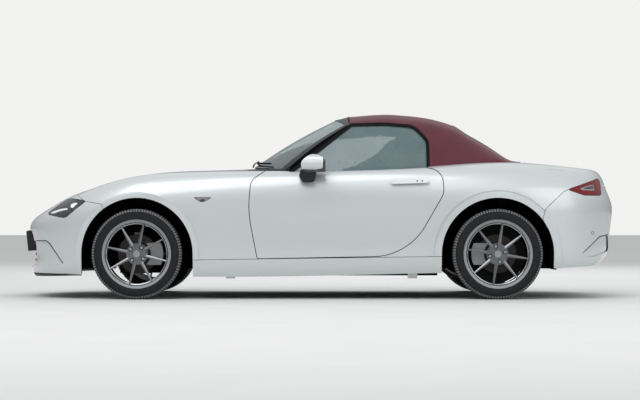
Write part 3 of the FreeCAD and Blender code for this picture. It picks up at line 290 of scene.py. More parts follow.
def wheel_finishes(end, hand):
    """Picks the finish of each face of one wheel by its distance from the axle and from the nuts."""
    hub = Vector((AXLES[end], hand * HALF_TRACK[end], WHEEL_HEIGHT))
    turns = [math.radians(FIRST_NUT[end] + 90 * k) for k in range(4)]
    nuts = [(hub.x + NUT_CIRCLE * math.cos(t), hub.z + NUT_CIRCLE * math.sin(t)) for t in turns]

    def pick(c):
        away, out = math.hypot(c.x - hub.x, c.z - hub.z), hand * (c.y - hub.y)
        from_nut = min(math.hypot(c.x - x, c.z - z) for x, z in nuts)
        if away < DISC_RADIUS and out < 0.001:
            return DISC
        # Barrels and nut recesses take the dark lacquer of painted shade and brake dust.
        if BARREL_INNER < away < BARREL_OUTER and out < FACE_OUT or NUT_RADIUS < from_nut < RECESS_RADIUS:
            return DUST_AND_SHADE
        # Lip, nuts and cap take the lighter lacquer, a painted highlight.
        lip = away > LIP_RADIUS and out > FACE_OUT
        return HIGHLIGHT if lip or from_nut < NUT_RADIUS or away < CAP_RADIUS else GUNMETAL
    return pick


for end, side, hand in CORNERS:
    dress([gunmetal, disc_iron_in_shade, dust_and_shade_lacquer, highlight_lacquer], "wheel_%s%s" % (end, side), pick=wheel_finishes(end, hand))


# A caliper starts so far from the axle, along the car and out from its middle, and is so high each way
CALIPER_FROM_AXLE, CALIPER_OUT, CALIPER_HALF_HEIGHT = 0.055, 0.68, 0.09


def caliper(end, back):
    """Picks the caliper's faces on one axle; back is 1 where it sits behind the axle and -1 before it."""
    def pick(c):
        beside = back * (c.x - AXLES[end]) > CALIPER_FROM_AXLE and abs(c.z - WHEEL_HEIGHT) < CALIPER_HALF_HEIGHT
        return 1 if beside and abs(c.y) > CALIPER_OUT else 0
    return pick


dress([cast, zinc], "knuckle_left", "knuckle_right", pick=caliper("f", 1))
dress([coating, zinc], "rear_suspension", pick=caliper("r", -1))


def alone(obj):
    """Selects one object and nothing else."""
    bpy.ops.object.select_all(action="DESELECT")
    obj.select_set(True)
    bpy.context.view_layer.objects.active = obj


def smooth(obj, degrees):
    """Shades a piece smooth, but not across edges sharper than so many degrees."""
    alone(obj)
    bpy.ops.object.shade_smooth_by_angle(angle=math.radians(degrees))


def trace(name, points, fill=True):
    """A line extruded from point to point, filled to a face."""
    bpy.ops.object.select_all(action="DESELECT")
    bpy.ops.mesh.primitive_plane_add(size=0.001, location=points[0])
    made = bpy.context.object
    made.name = name
    bpy.ops.object.transform_apply(location=True, rotation=True, scale=True)
    bpy.ops.object.mode_set(mode="EDIT")
    bpy.ops.mesh.merge(type="CENTER")
    for before, after in zip(points, points[1:]):
        bpy.ops.mesh.extrude_vertices_move(TRANSFORM_OT_translate={"value": Vector(after) - Vector(before)})
    if fill:
        bpy.ops.mesh.select_all(action="SELECT")
        bpy.ops.mesh.edge_face_add()
    bpy.ops.object.mode_set(mode="OBJECT")
    return made


def closed_up(obj, apart=0.00001):
    """Merges points that lie so close together and turns the faces outwards."""
    alone(obj)
    bpy.ops.object.mode_set(mode="EDIT")
    bpy.ops.mesh.select_all(action="SELECT")
    bpy.ops.mesh.remove_doubles(threshold=apart)
    bpy.ops.mesh.normals_make_consistent(inside=False)
    bpy.ops.object.mode_set(mode="OBJECT")


def spun(name, section, steps):
    """A ring about the Y axis from its closed section (y, radius)."""
    made = trace(name, [(0, y, r) for y, r in section], fill=False)
    bpy.ops.object.mode_set(mode="EDIT")
    bpy.ops.mesh.select_all(action="SELECT")
    bpy.ops.mesh.edge_face_add()
    bpy.ops.mesh.delete(type="ONLY_FACE")
    bpy.ops.mesh.select_all(action="SELECT")
    bpy.ops.mesh.spin(steps=steps, angle=2 * math.pi, center=(0, 0, 0), axis=(0, 1, 0))
    bpy.ops.object.mode_set(mode="OBJECT")
    closed_up(made, 0.00002)
    return made


def at_wheels(master, name, node=None, fixed=False):
    """A copy of a piece at each wheel; a fixed one is only at the rear wheels and doesn't roll with them."""
    for end, side, hand in [corner for corner in CORNERS if corner[0] == "r" or not fixed]:
        copy = master.copy()
        copy.data = master.data.copy()
        copy.name = "%s_%s%s" % (name, end, side)
        scene.collection.objects.link(copy)
        alone(copy)
        if hand < 0:
            copy.rotation_euler = (0, 0, math.pi)
        copy.location = (AXLES[end], hand * HALF_TRACK[end], WHEEL_HEIGHT)
        bpy.ops.object.transform_apply(location=True, rotation=True, scale=True)
        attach(copy, "body" if fixed else "wheel_%s%s" % (end, side))
        if node:
            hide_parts("%s_%s%s" % (node, end, side))
    bpy.data.objects.remove(master)


# Half section of the hump: distance outwards from the wheel's middle plane, radius
HUMP = [(0.074, 0.1965), (0.073, 0.1925), (0.069, 0.1900), (0.063, 0.1900), (0.059, 0.1925), (0.058, 0.1965)]
hump = spun("hump", HUMP, 96)
# The hump takes the lighter lacquer: a painted highlight ring just inside the lip.
hump.data.materials.append(highlight_lacquer)
smooth(hump, 50)
at_wheels(hump, "bead_hump")
# Splash shield behind each rear disc, pressed from thin sheet; in front the arms need the room.
# It reaches nearly to the barrel, wider than a real shield: a dark sheet of painted shade that hides the floor seen
# through the wheel.
SHIELD = [(-0.0345, 0.03), (-0.0345, 0.186), (-0.0330, 0.186), (-0.0330, 0.03)]
shield = spun("shield", SHIELD, 64)
shield.data.materials.append(coating)
at_wheels(shield, "splash_shield", fixed=True)

# Tyres
# Four radial road tyres, pressed onto the rims and inflated; the sidewall bulges past the rim flange.
# The tread has four drainage grooves, and 98 rows of blocks cut across it, moulded 5 mm deep.
rubber, tree, shader = finish("vulcanised_tread_rubber", "#1B1C1E", 0.75, Specular_IOR_Level=0.25)
place = add(tree, "TexCoord")
bloom = add(tree, "TexNoise", {"Vector": place.outputs["Object"], "Scale": 35.0, "Detail": 5.0})
tone = add(tree, "MixRGB", {"Fac": bloom.outputs["Fac"], "Color1": colour("#191A1C"), "Color2": colour("#232427")})
tree.links.new(tone.outputs["Color"], shader.inputs["Base Color"])
# The outer faces of the shoulder blocks are a light grey, partly road dust and partly a painted highlight where light
# falls on them, so they stand out from the gaps between them.
dust_and_highlight_rubber, tree, shader = finish("road_dusted_rubber", "#6E6F70", 0.9, Specular_IOR_Level=0.2)
place = add(tree, "TexCoord")
dust_and_highlight_speckle = add(tree, "TexNoise", {"Vector": place.outputs["Object"], "Scale": 120.0, "Detail": 4.0})
tone = add(tree, "MixRGB", {"Fac": dust_and_highlight_speckle.outputs["Fac"], "Color1": colour("#606163"), "Color2": colour("#86878A")})
tree.links.new(tone.outputs["Color"], shader.inputs["Base Color"])

# Half section of a tyre, from the bead outwards: distance from the middle plane, radius
TYRE_SECTION = [(0.0930, 0.2215), (0.0945, 0.2260), (0.0958, 0.2300), (0.0972, 0.2360), (0.0975, 0.2440),
                (0.0975, 0.2500), (0.0968, 0.2503), (0.0966, 0.2535), (0.0970, 0.2538), (0.0955, 0.2620),
                (0.0920, 0.2690), (0.0885, 0.2735), (0.0845, 0.2765), (0.0790, 0.2795), (0.0720, 0.2825),
                (0.0620, 0.2843), (0.0618, 0.2773), (0.0545, 0.2773), (0.0543, 0.2848), (0.0270, 0.2855),
                (0.0268, 0.2780), (0.0180, 0.2780), (0.0178, 0.2855)]
TREAD_ROWS = 98
# Share of a row that is the gap before its block, and the height of a block
GAP_SHARE, BLOCK_HEIGHT = 0.34, 0.0045
# The shoulder blocks start so far from the middle plane; blocks lie outside these radii there, and in the middle
SHOULDER, SHOULDER_RADIUS, CROWN_RADIUS = 0.063, 0.2700, 0.2820
# The light grey of dust and painted highlight lies on the blocks outside this radius and so far from the middle plane
LIGHT_AND_DUST_RADIUS, LIGHT_AND_DUST_OUT = 0.2735, 0.062


def row_share(c):
    """How far a point is along its row of tread blocks, from 0 to 1; the left rows run ahead of the right ones."""
    return (math.atan2(c.z, c.x) / (2 * math.pi) * TREAD_ROWS + (0.33 if c.y > 0 else 0)) % 1.0


tyre = spun("tyre", TYRE_SECTION + [(-y, r) for y, r in reversed(TYRE_SECTION)], TREAD_ROWS * 3)
for group in (tyre.data.vertices, tyre.data.edges):
    for item in group:
        item.select = False
for face in tyre.data.polygons:
    middle = face.center
    inner_edge = SHOULDER_RADIUS if abs(middle.y) > SHOULDER else CROWN_RADIUS
    on_tread = math.hypot(middle.x, middle.z) > inner_edge and abs(face.normal.y) < 0.9
    face.select = on_tread and row_share(middle) > GAP_SHARE
bpy.ops.object.mode_set(mode="EDIT")
bpy.ops.mesh.select_mode(type="FACE")
bpy.ops.mesh.extrude_region_shrink_fatten(TRANSFORM_OT_shrink_fatten={"value": BLOCK_HEIGHT})
bpy.ops.mesh.select_mode(type="VERT")
bpy.ops.object.mode_set(mode="OBJECT")
tyre.data.materials.append(rubber)
tyre.data.materials.append(dust_and_highlight_rubber)
for face in tyre.data.polygons:
    middle = face.center
    on_block = math.hypot(middle.x, middle.z) > LIGHT_AND_DUST_RADIUS and row_share(middle) > GAP_SHARE
    face.material_index = 1 if on_block and abs(face.normal.y) < 0.9 and abs(middle.y) > LIGHT_AND_DUST_OUT else 0
at_wheels(tyre, "treaded_tyre", "tyre")

# Soft top
# Acrylic canvas in dark cherry, bonded to rubber and stretched over three bows from the header to the rear deck.
# It is one sheet, clamped all round and cut out for the side windows and the glass rear window.
# Stations of the cabin: x, middle height, then height and half width of shoulder, rail, window, waist and foot
CABIN = [
    (-330, 1196, 1160, 500, 1105, 590, 965, 668, 820, 736, 760, 752),
    (-80, 1196, 1160, 500, 1105, 590, 965, 668, 820, 736, 760, 752),
    (150, 1196, 1158, 500, 1105, 590, 965, 668, 820, 735, 760, 751),
    (340, 1223, 1187, 502, 1118, 592, 968, 668, 820, 733, 760, 749),
    (490, 1219, 1183, 502, 1118, 592, 968, 667, 822, 730, 762, 744),
    (650, 1209, 1173, 502, 1112, 590, 965, 665, 828, 724, 768, 738),
    (790, 1177, 1140, 500, 1084, 586, 954, 660, 848, 712, 788, 722),
    (880, 1156, 1112, 496, 1048, 580, 948, 648, 868, 696, 808, 706),
    (960, 1092, 1058, 492, 1003, 576, 936, 638, 878, 682, 818, 690),
    (1060, 1037, 1008, 486, 966, 570, 922, 626, 884, 662, 824, 668),
    (1170, 959, 944, 480, 924, 556, 904, 610, 884, 638, 824, 642),
    (1250, 888, 886, 470, 884, 540, 880, 592, 872, 616, 812, 620),
    (1308, 893, 890, 460, 884, 525, 874, 576, 858, 600, 800, 604),
]
WINDOW = [(-194, 808, 3), (203, 1124, 25), (420, 1128, 400), (600, 1112, 80), (686, 1020, 60), (686, 808, 3)]
REAR_PANE = [(-400, 935, 60), (-355, 1128, 70), (355, 1128, 70), (400, 935, 60)]
HEM = [(100, 812, 1), (640, 814, 1), (700, 828, 10), (830, 848, 60), (950, 862, 60), (1180, 868, 60), (1306, 868, 1),
       (1306, 1300, 1), (100, 1300, 1)]
# Front edge of the canvas over the header, in plan: x, y
HEADER_EDGE = [(100, -700, 1), (100, 700, 1), (192, 700, 1), (190, 552, 300), (176, 0, 2000), (190, -552, 300),
               (192, -700, 1)]
# Places of the bows along the car, from the header to the deck, and how far the cloth sinks between them
BOWS = (0.176, 0.46, 0.74, 0.95, 1.306)
SAG = 0.003
SIDES = ((-1, "left"), (1, "right"))


def cabin_skin(name, proud, thick):
    """The cabin's surface from pillar to deck, standing proud of the solids, with a wall on its inside."""
    data = bpy.data.curves.new(name, "SURFACE")
    data.dimensions = "3D"
    for x, z_c, z_s, y_s, z_r, y_r, z_m, y_m, z_b, y_b, z_f, y_f in CABIN:
        half = [(0.6 * y_s, z_c + 0.25 * (z_s - z_c)), (y_s, z_s), (y_r, z_r), (y_m, z_m), (y_b, z_b), (y_f, z_f)]
        line = [(-y, z) for y, z in reversed(half)] + [(0, z_c)] + half
        row = data.splines.new("NURBS")
        row.points.add(len(line) - 1)
        for point, (y, z) in zip(row.points, line):
            point.co = (x / 1000, y / 1000, z / 1000, 1)
    made = bpy.data.objects.new(name, data)
    scene.collection.objects.link(made)
    alone(made)
    bpy.ops.object.mode_set(mode="EDIT")
    bpy.ops.curve.select_all(action="SELECT")
    bpy.ops.curve.make_segment()
    bpy.ops.object.mode_set(mode="OBJECT")
    face = data.splines[0]
    face.use_endpoint_u = face.use_endpoint_v = True
    face.order_u = face.order_v = 4
    face.resolution_u = face.resolution_v = 8
    bpy.ops.object.convert(target="MESH")
    made = bpy.context.object
    closed_up(made)
    top = max(made.data.polygons, key=lambda f: f.center.z)
    if top.normal.z < 0:
        bpy.ops.object.mode_set(mode="EDIT")
        bpy.ops.mesh.flip_normals()
        bpy.ops.object.mode_set(mode="OBJECT")
    bpy.ops.object.mode_set(mode="EDIT")
    bpy.ops.transform.shrink_fatten(value=proud)
    bpy.ops.object.mode_set(mode="OBJECT")
    wall = made.modifiers.new("wall", "SOLIDIFY")
    wall.thickness, wall.offset = thick, -1
    bpy.ops.object.modifier_apply(modifier="wall")
    return made


def plate(name, outline, place, depth):
    """Corners (a, b, radius), in millimetres, placed in space by place(a, b) and extruded by depth."""
    corners = [place(a / 1000, b / 1000) for a, b, r in outline]
    made = trace(name, corners)
    reach = []
    for k, (a, b, r) in enumerate(outline):
        back = Vector(corners[k - 1]) - Vector(corners[k])
        ahead = Vector(corners[(k + 1) % len(corners)]) - Vector(corners[k])
        reach.append(r / 1000 / math.tan(back.angle(ahead) / 2))
    weights = made.data.attributes.new("bevel_weight_vert", "FLOAT", "POINT")
    for vertex in made.data.vertices:
        nearest = min(range(len(corners)), key=lambda k: (Vector(corners[k]) - vertex.co).length)
        weights.data[vertex.index].value = reach[nearest] / max(reach)
    alone(made)
    rounding = made.modifiers.new("rounding", "BEVEL")
    rounding.affect, rounding.limit_method, rounding.width, rounding.segments = "VERTICES", "WEIGHT", max(reach), 8
    bpy.ops.object.modifier_apply(modifier="rounding")
    bpy.ops.object.mode_set(mode="EDIT")
    bpy.ops.mesh.select_all(action="SELECT")
    bpy.ops.mesh.extrude_region_move(TRANSFORM_OT_translate={"value": depth})
    bpy.ops.mesh.select_all(action="SELECT")
    bpy.ops.mesh.normals_make_consistent(inside=False)
    bpy.ops.object.mode_set(mode="OBJECT")
    return made


def carve(piece, tool, how="DIFFERENCE"):
    """Cuts tool out of piece, or keeps what they share; the tool is used up."""
    cut = piece.modifiers.new("cut", "BOOLEAN")
    cut.operation, cut.object, cut.solver = how, tool, "EXACT"
    alone(piece)
    bpy.ops.object.modifier_apply(modifier="cut")
    bpy.data.objects.remove(tool)
    return piece


def grown(outline, by):
    """The outline with each side moved out by so many millimetres and its corner radii to match."""
    middle = Vector((sum(c[0] for c in outline), sum(c[1] for c in outline))) / len(outline)
    sides = []
    for k in range(len(outline)):
        a, b = Vector(outline[k - 1][:2]), Vector(outline[k][:2])
        out = Vector((b.y - a.y, a.x - b.x)).normalized()
        out = out if out.dot((a + b) / 2 - middle) > 0 else -out
        sides.append((a + out * by, b + out * by))
    made = []
    for k in range(len(outline)):
        (a, b), (c, d) = sides[k], sides[(k + 1) % len(outline)]
        u, w = b - a, d - c
        share = ((c.x - a.x) * w.y - (c.y - a.y) * w.x) / (u.x * w.y - u.y * w.x)
        made.append((*(a + u * share), max(0.5, outline[k][2] + by)))
    return made


def side_plate(name, outline, hand, near=0.0, far=1.0):
    """A plate with its outline in the side view, from near to far metres off the car's middle, on one hand."""
    return plate(name, outline, lambda a, b: (a, hand * near, b), (0, hand * (far - near), 0))


def rear_plate(name, outline):
    """A plate with its outline seen from behind, through the whole slope of the rear window."""
    return plate(name, outline, lambda a, b: (0.8, a, b), (0.6, 0, 0))


canvas, tree, shader = finish("acrylic_canvas", "#5C2A36", 0.9, Sheen_Weight=0.25, Sheen_Roughness=0.4)
place = add(tree, "TexCoord")
# The yarns are 0.7 mm apart; drawn at 2.4 mm they just show. The dye lot varies a little over hand-wide patches.
warp = add(tree, "TexWave", {"Vector": place.outputs["Object"], "Scale": 66.0}, bands_direction="X")
weft = add(tree, "TexWave", {"Vector": place.outputs["Object"], "Scale": 66.0}, bands_direction="Y")
weave = add(tree, "Math", {0: warp.outputs["Fac"], 1: weft.outputs["Fac"]}, operation="MULTIPLY")
relief = add(tree, "Bump", {"Height": weave.outputs[0], "Strength": 0.25, "Distance": 0.0006})
tree.links.new(relief.outputs["Normal"], shader.inputs["Normal"])
patches = add(tree, "TexNoise", {"Vector": place.outputs["Object"], "Scale": 9.0, "Detail": 6.0})
tone = add(tree, "MixRGB", {"Fac": patches.outputs["Fac"], "Color1": colour("#55242F"), "Color2": colour("#642F3B")})
tree.links.new(tone.outputs["Color"], shader.inputs["Base Color"])

top = cabin_skin("canvas_top", 0.0015, 0.0025)
carve(top, side_plate("hem", HEM, 1, -0.9, 0.9), "INTERSECT")
carve(top, plate("header", HEADER_EDGE, lambda a, b: (a, b, 1.0), (0, 0, 0.3)))
for hand in (-1, 1):
    carve(top, side_plate("window", grown(WINDOW, 9), hand))
carve(top, rear_plate("pane", REAR_PANE))
top.data.materials.append(canvas)


def sag(piece):
    """Lets the roof sink a little between one bow and the next, most in the middle of the car."""
    for vertex in piece.data.vertices:
        spot = vertex.co
        for fore, aft in zip(BOWS, BOWS[1:]):
            if fore < spot.x < aft:
                loose = max(0.0, 1 - (spot.y / 0.55) ** 2)
                spot.z -= SAG * loose * math.sin(math.pi * (spot.x - fore) / (aft - fore))


sag(top)
smooth(top, 35)
# Each seam is a flat-felled strip of the same canvas, 14 mm wide, from the header to the deck over the bows.
STRIP = [(178, 428, 2), (178, 442, 2), (960, 442, 2), (1290, 434, 2), (1290, 420, 2), (960, 428, 2)]
for hand, side in SIDES:
    seam = cabin_skin("canvas_seam_" + side, 0.0028, 0.0016)
    carve(seam, plate("strip", STRIP, lambda a, b: (a, hand * b, 0.86), (0, 0, 0.5)), "INTERSECT")
    sag(seam)
    seam.data.materials.append(canvas)
    smooth(seam, 35)
    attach(seam, "body")
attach(top, "body")
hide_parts("soft_top")

# Window and screen seals
# Black EPDM rubber, extruded and clipped to the frame; it fills the gap between glass and canvas.
epdm, tree, shader = finish("extruded_epdm_rubber", "#050506", 0.6, Specular_IOR_Level=0.15)
place = add(tree, "TexCoord")
dust = add(tree, "TexNoise", {"Vector": place.outputs["Object"], "Scale": 60.0, "Detail": 4.0})
rough = add(tree, "MapRange", {"Value": dust.outputs["Fac"], "To Min": 0.5, "To Max": 0.75})
tree.links.new(rough.outputs["Result"], shader.inputs["Roughness"])
BELOW_WAIST = [(-400, 600, 1), (-400, 818, 1), (900, 818, 1), (900, 600, 1)]


def sealed(piece):
    """Finishes a rubber seal, which stays with the body."""
    piece.data.materials.append(epdm)
    smooth(piece, 35)
    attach(piece, "body")


for hand, side in SIDES:
    seal = cabin_skin("window_seal_" + side, 0.003, 0.014)
    carve(seal, side_plate("outer", grown(WINDOW, 17), hand), "INTERSECT")
    carve(seal, side_plate("inner", grown(WINDOW, -3), hand))
    carve(seal, side_plate("below", BELOW_WAIST, hand))
    sealed(seal)
seal = cabin_skin("rear_window_seal", 0.003, 0.009)
carve(seal, rear_plate("outer", grown(REAR_PANE, 9)), "INTERSECT")
carve(seal, rear_plate("inner", grown(REAR_PANE, -7)))
sealed(seal)


# Lamps' insides, repeaters and other pieces set in the panels
# Each one follows the panel that holds it: it is that panel's own skin inside the piece's outline.
# Reflectors are vacuum-coated and also given a faint glow of their own, a painted highlight; a dark rim is the
# shadowed joint round a flap or a sensor, and the dark strip along each bumper pocket's upper edge is a painted
# shadow.
def inlay(name, node, tool, material, slot_name, proud=0.0, shift=(0, 0, 0)):
    """The part of a node's solid inside the tool, grown by proud and moved by shift, as a piece of its own."""
    source = nodes[node]
    made = source.copy()
    made.data = source.data.copy()
    made.name = name
    body = source["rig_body"]
    for key in [k for k in made.keys() if k.startswith("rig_")]:
        del made[key]
    made.parent = None
    made.matrix_world = source.matrix_world.copy()
    scene.collection.objects.link(made)
    made.data.materials.clear()
    made.data.materials.append(material)
    for face in made.data.polygons:
        face.material_index = 0
    alone(made)
    bpy.ops.mesh.customdata_custom_splitnormals_clear()
    bpy.ops.object.transform_apply(location=True, rotation=True, scale=True)
    bpy.ops.object.mode_set(mode="EDIT")
    bpy.ops.mesh.select_all(action="SELECT")
    bpy.ops.mesh.remove_doubles(threshold=0.00001)
    bpy.ops.object.mode_set(mode="OBJECT")
    carve(made, tool, "INTERSECT")
    bpy.ops.object.mode_set(mode="EDIT")
    bpy.ops.mesh.select_all(action="SELECT")
    bpy.ops.transform.shrink_fatten(value=proud)
    bpy.ops.transform.translate(value=shift)
    bpy.ops.object.mode_set(mode="OBJECT")
    smooth(made, 30)
    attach(made, body)
    return made


def oval(x, z, half_length, half_height, steps=28):
    """An ellipse's outline in the side view, in millimetres."""
    turns = [2 * math.pi * k / steps for k in range(steps)]
    return [(x + half_length * math.cos(t), z + half_height * math.sin(t), 0.5) for t in turns]


gloss_black, tree, shader = finish("gloss_black_lacquer", "#0D0E10", 0.25, Coat_Weight=1.0, Coat_Roughness=0.02)
# The reflectors and light bars glow faintly by emission: a painted highlight.
glowing_reflector, tree, shader = finish("vacuum_coated_reflector", "#E4E7EA", 0.12, 1.0, Emission_Strength=0.55)
shader.inputs["Emission Color"].default_value = colour("#F3F6FA")
smoked, tree, shader = finish("smoked_acrylic", "#2C2E33", 0.08, Transmission_Weight=0.3, IOR=1.49, Coat_Weight=1.0)
ice, tree, shader = finish("clear_acrylic_over_silver", "#A39BA0", 0.15, 0.5)
shut, tree, shader = finish("shadowed_shut_line", "#3C3F41", 0.85)
# Outlines in the side view: x, z, corner radius
REFLECTOR = [(-1618, 592, 4), (-1612, 609, 6), (-1590, 618, 4), (-1566, 617, 3), (-1588, 600, 6), (-1600, 586, 3)]
LIGHT_BAR = [(-1762, 552, 2), (-1735, 563, 10), (-1690, 577, 20), (-1636, 585, 2), (-1638, 577, 2), (-1690, 567, 20),
             (-1735, 552, 10)]
BOWL = [(-1782, 549, 8), (-1640, 648, 90), (-1514, 631, 6), (-1650, 525, 40), (-1714, 535, 60)]
# Painted shadows: dark strips along the upper edges of the front and rear bumper pockets, where those edges cast
# shade.
FRONT_POCKET_SHADOW = [(-1870, 375, 0.5), (-1784, 376, 14), (-1756, 357, 10), (-1661, 230, 1), (-1666, 227, 1),
               (-1762, 351, 10), (-1787, 370, 14), (-1870, 370, 0.5)]
REAR_POCKET_SHADOW = [(1685, 297, 1), (1806, 403, 30), (1886, 416, 1), (1886, 411, 1), (1811, 397, 30), (1692, 296, 1)]
TAIL_ICE = [(1668, 709, 3), (1722, 728, 30), (1770, 738, 5), (1773, 698, 5), (1690, 700, 10)]
TAIL_DARK = [(1690, 711, 3), (1724, 722, 10), (1768, 730, 3), (1769, 712, 3), (1728, 706, 8)]
REPEATER = [(-813, 653, 2), (-700, 653, 2), (-715, 639, 8), (-745, 624, 8), (-768, 622, 10), (-790, 634, 10)]
REPEATER_LENS = [(-800, 649, 2), (-712, 649, 2), (-724, 638, 6), (-747, 628, 6), (-766, 626, 8), (-785, 636, 8)]
REPEATER_CORE = [(-774, 639, 2), (-745, 641, 2), (-745, 630, 2), (-768, 629, 2)]
# Inlays: name, panel, outline, material, slot, how far it stands proud in metres, how deep it lies in steps inward
INLAYS = [
    ("lamp_bowl", "headlamps", BOWL, gloss_black, "lamp_clear", 0, 2.2),
    ("reflector", "headlamps", REFLECTOR, glowing_reflector, "lamp_clear", 0, 1),
    ("light_bar", "headlamps", LIGHT_BAR, glowing_reflector, "lamp_clear", 0, 1),
    # The two pocket strips are painted shadow, in the shut line's dark grey.
    ("front_joint", "front_bumper", FRONT_POCKET_SHADOW, shut, "black_plastic", 0.0005, 0),
    ("rear_joint", "rear_bumper", REAR_POCKET_SHADOW, shut, "black_plastic", 0.0005, 0),
    ("tail_ice", "tail_lamps", TAIL_ICE, ice, "lamp_clear", 0.0005, 0),
    ("tail_dark", "tail_lamps", TAIL_DARK, smoked, "lamp_clear", 0.0009, 0),
    ("repeater_rim", "front_fenders", REPEATER, shut, "black_plastic", 0.0005, 0),
    ("repeater", "front_fenders", REPEATER_LENS, ice, "lamp_clear", 0.0012, 0),
    ("repeater_core", "front_fenders", REPEATER_CORE, smoked, "lamp_clear", 0.0016, 0),
]
for hand, side in SIDES:
    inward = Vector((0.004, -hand * 0.005, -0.003))
    for name, node, outline, material, slot_name, proud, steps_in in INLAYS:
        cut = side_plate("cut", outline, hand)
        inlay("%s_%s" % (name, side), node, cut, material, slot_name, proud, inward * steps_in)
    for spot in (617, 649):
        cut = side_plate("cut", oval(spot, 757, 5, 5, 12), hand, 0.83, 1)
        inlay("handle_button_%d_%s" % (spot, side), "door_" + side, cut, smoked, "black_plastic", 0.0006)
# The filler flap is on the left only, and one sensor shows on each rear corner.
# Name, panel, middle x and z, half length, half height and width of the gap round it, and the sides it is on
RINGED = [
    ("filler_flap", "rear_quarters", 1494, 789, 92, 52, 5.5, SIDES[:1]),
    ("sensor", "rear_bumper", 1756, 424, 11, 11, 3.5, SIDES),
]
for name, node, x, z, length, height, gap, sides in RINGED:
    for hand, side in sides:
        full = side_plate("cut", oval(x, z, length, height), hand)
        less = side_plate("cut", oval(x, z, length - gap, height - gap), hand)
        inlay("%s_shut_%s" % (name, side), node, full, shut, "black_plastic", 0.0003)
        inlay("%s_%s" % (name, side), node, less, paint, "body_paint", 0.0007)

# Bands round the wheel openings
# A rolled band on each panel edge, tucked in towards the tyre, so it catches less sky than the panel above it.
# Panel, axle, outer radius of its band
BANDS = [("front_bumper", "f", 0.396), ("front_fenders", "f", 0.396), ("rear_quarters", "r", 0.406),
         ("rear_bumper", "r", 0.406)]
BAND_INNER, BAND_PROUD = 0.36, 0.006
for node, axle, radius in BANDS:
    for hand, side in SIDES:
        outline = oval(AXLES[axle] * 1000, WHEEL_HEIGHT * 1000, radius * 1000, radius * 1000, 96)
        disc = side_plate("cut", outline, hand, 0.4, 1.0)
        band = inlay("arch_band_%s_%s" % (node, side), node, disc, paint, "body_paint", 0.0004)
        for vertex in band.data.vertices:
            away = math.hypot(vertex.co.x - AXLES[axle], vertex.co.z - WHEEL_HEIGHT)
            share = (away - BAND_INNER) / (radius - BAND_INNER)
            vertex.co.y += hand * BAND_PROUD * min(1.0, max(0.0, share))

# Door mirrors
# A painted cap clips over a black moulded housing on its black foot; the glass faces the driver.
CAP = [(-150, 833, 5), (-150, 900, 40), (-70, 960, 60), (10, 950, 30), (14, 890, 30), (11, 838, 6), (-30, 829, 20)]
GLASS_EDGE = [(790, 828, 10), (786, 872, 10), (928, 872, 12), (936, 846, 20), (900, 826, 14)]
silvered, tree, shader = finish("silvered_mirror_glass", "#E8EBEC", 0.02, 1.0)
for hand, side in SIDES:
    node = "mirror_" + side
    dress([gloss_black], node)
    inlay("mirror_cap_" + side, node, side_plate("cut", CAP, hand, 0.74, 1.0), paint, "body_paint", 0.0012)
    pane = plate("mirror_glass_" + side, GLASS_EDGE, lambda a, b: (0.0295, hand * a, b), (0.0013, 0, 0))
    pane.data.materials.append(silvered)
    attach(pane, nodes[node]["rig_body"])

# Seats
# Black leather over moulded foam on a plastic shell: cushion, back, their side bolsters and a fixed headrest.
# Each pad is a closed bag that is blown up from its cut shape, as foam fills its cover, until its seams hold it.
leather, tree, shader = finish("milled_black_leather", "#1A1A1B", 0.5, Coat_Weight=0.1)
place = add(tree, "TexCoord")
pores = add(tree, "TexVoronoi", {"Vector": place.outputs["Object"], "Scale": 420.0})
relief = add(tree, "Bump", {"Height": pores.outputs["Distance"], "Strength": 0.35, "Distance": 0.0005})
tree.links.new(relief.outputs["Normal"], shader.inputs["Normal"])
# Side outlines: x, z, radius
CUSHION = [(48, 300, 20), (48, 362, 30), (240, 352, 200), (415, 328, 20), (425, 286, 20)]
CUSHION_BOLSTER = [(60, 290, 20), (70, 392, 40), (260, 388, 200), (425, 352, 20), (440, 280, 20)]
BACK = [(440, 360, 20), (520, 600, 300), (578, 832, 20), (648, 832, 20), (604, 600, 300), (522, 352, 20)]
BACK_BOLSTER = [(420, 372, 20), (478, 600, 200), (568, 800, 30), (640, 800, 30), (596, 600, 300), (512, 366, 20)]
HEADREST = [(588, 862, 20), (604, 1035, 30), (664, 1042, 20), (668, 862, 20)]
SHELL = [(452, 262, 10), (560, 262, 20), (614, 520, 300), (680, 850, 12), (664, 852, 4), (600, 540, 300),
         (536, 290, 20)]
# Pads: name, from and to across the seat, side outline
PADS = [
    ("cushion", -140, 140, CUSHION),
    ("cushion_left", -222, -146, CUSHION_BOLSTER),
    ("cushion_right", 146, 222, CUSHION_BOLSTER),
    ("back", -132, 132, BACK),
    ("back_left", -218, -138, BACK_BOLSTER),
    ("back_right", 138, 218, BACK_BOLSTER),
    ("headrest", -112, 112, HEADREST),
]
# Metres: a seat's middle off the car's, the voxels of a pad before it is blown up, and the most that it swells
SEAT_MIDDLE, VOXEL, SWELL = 0.365, 0.010, 0.014


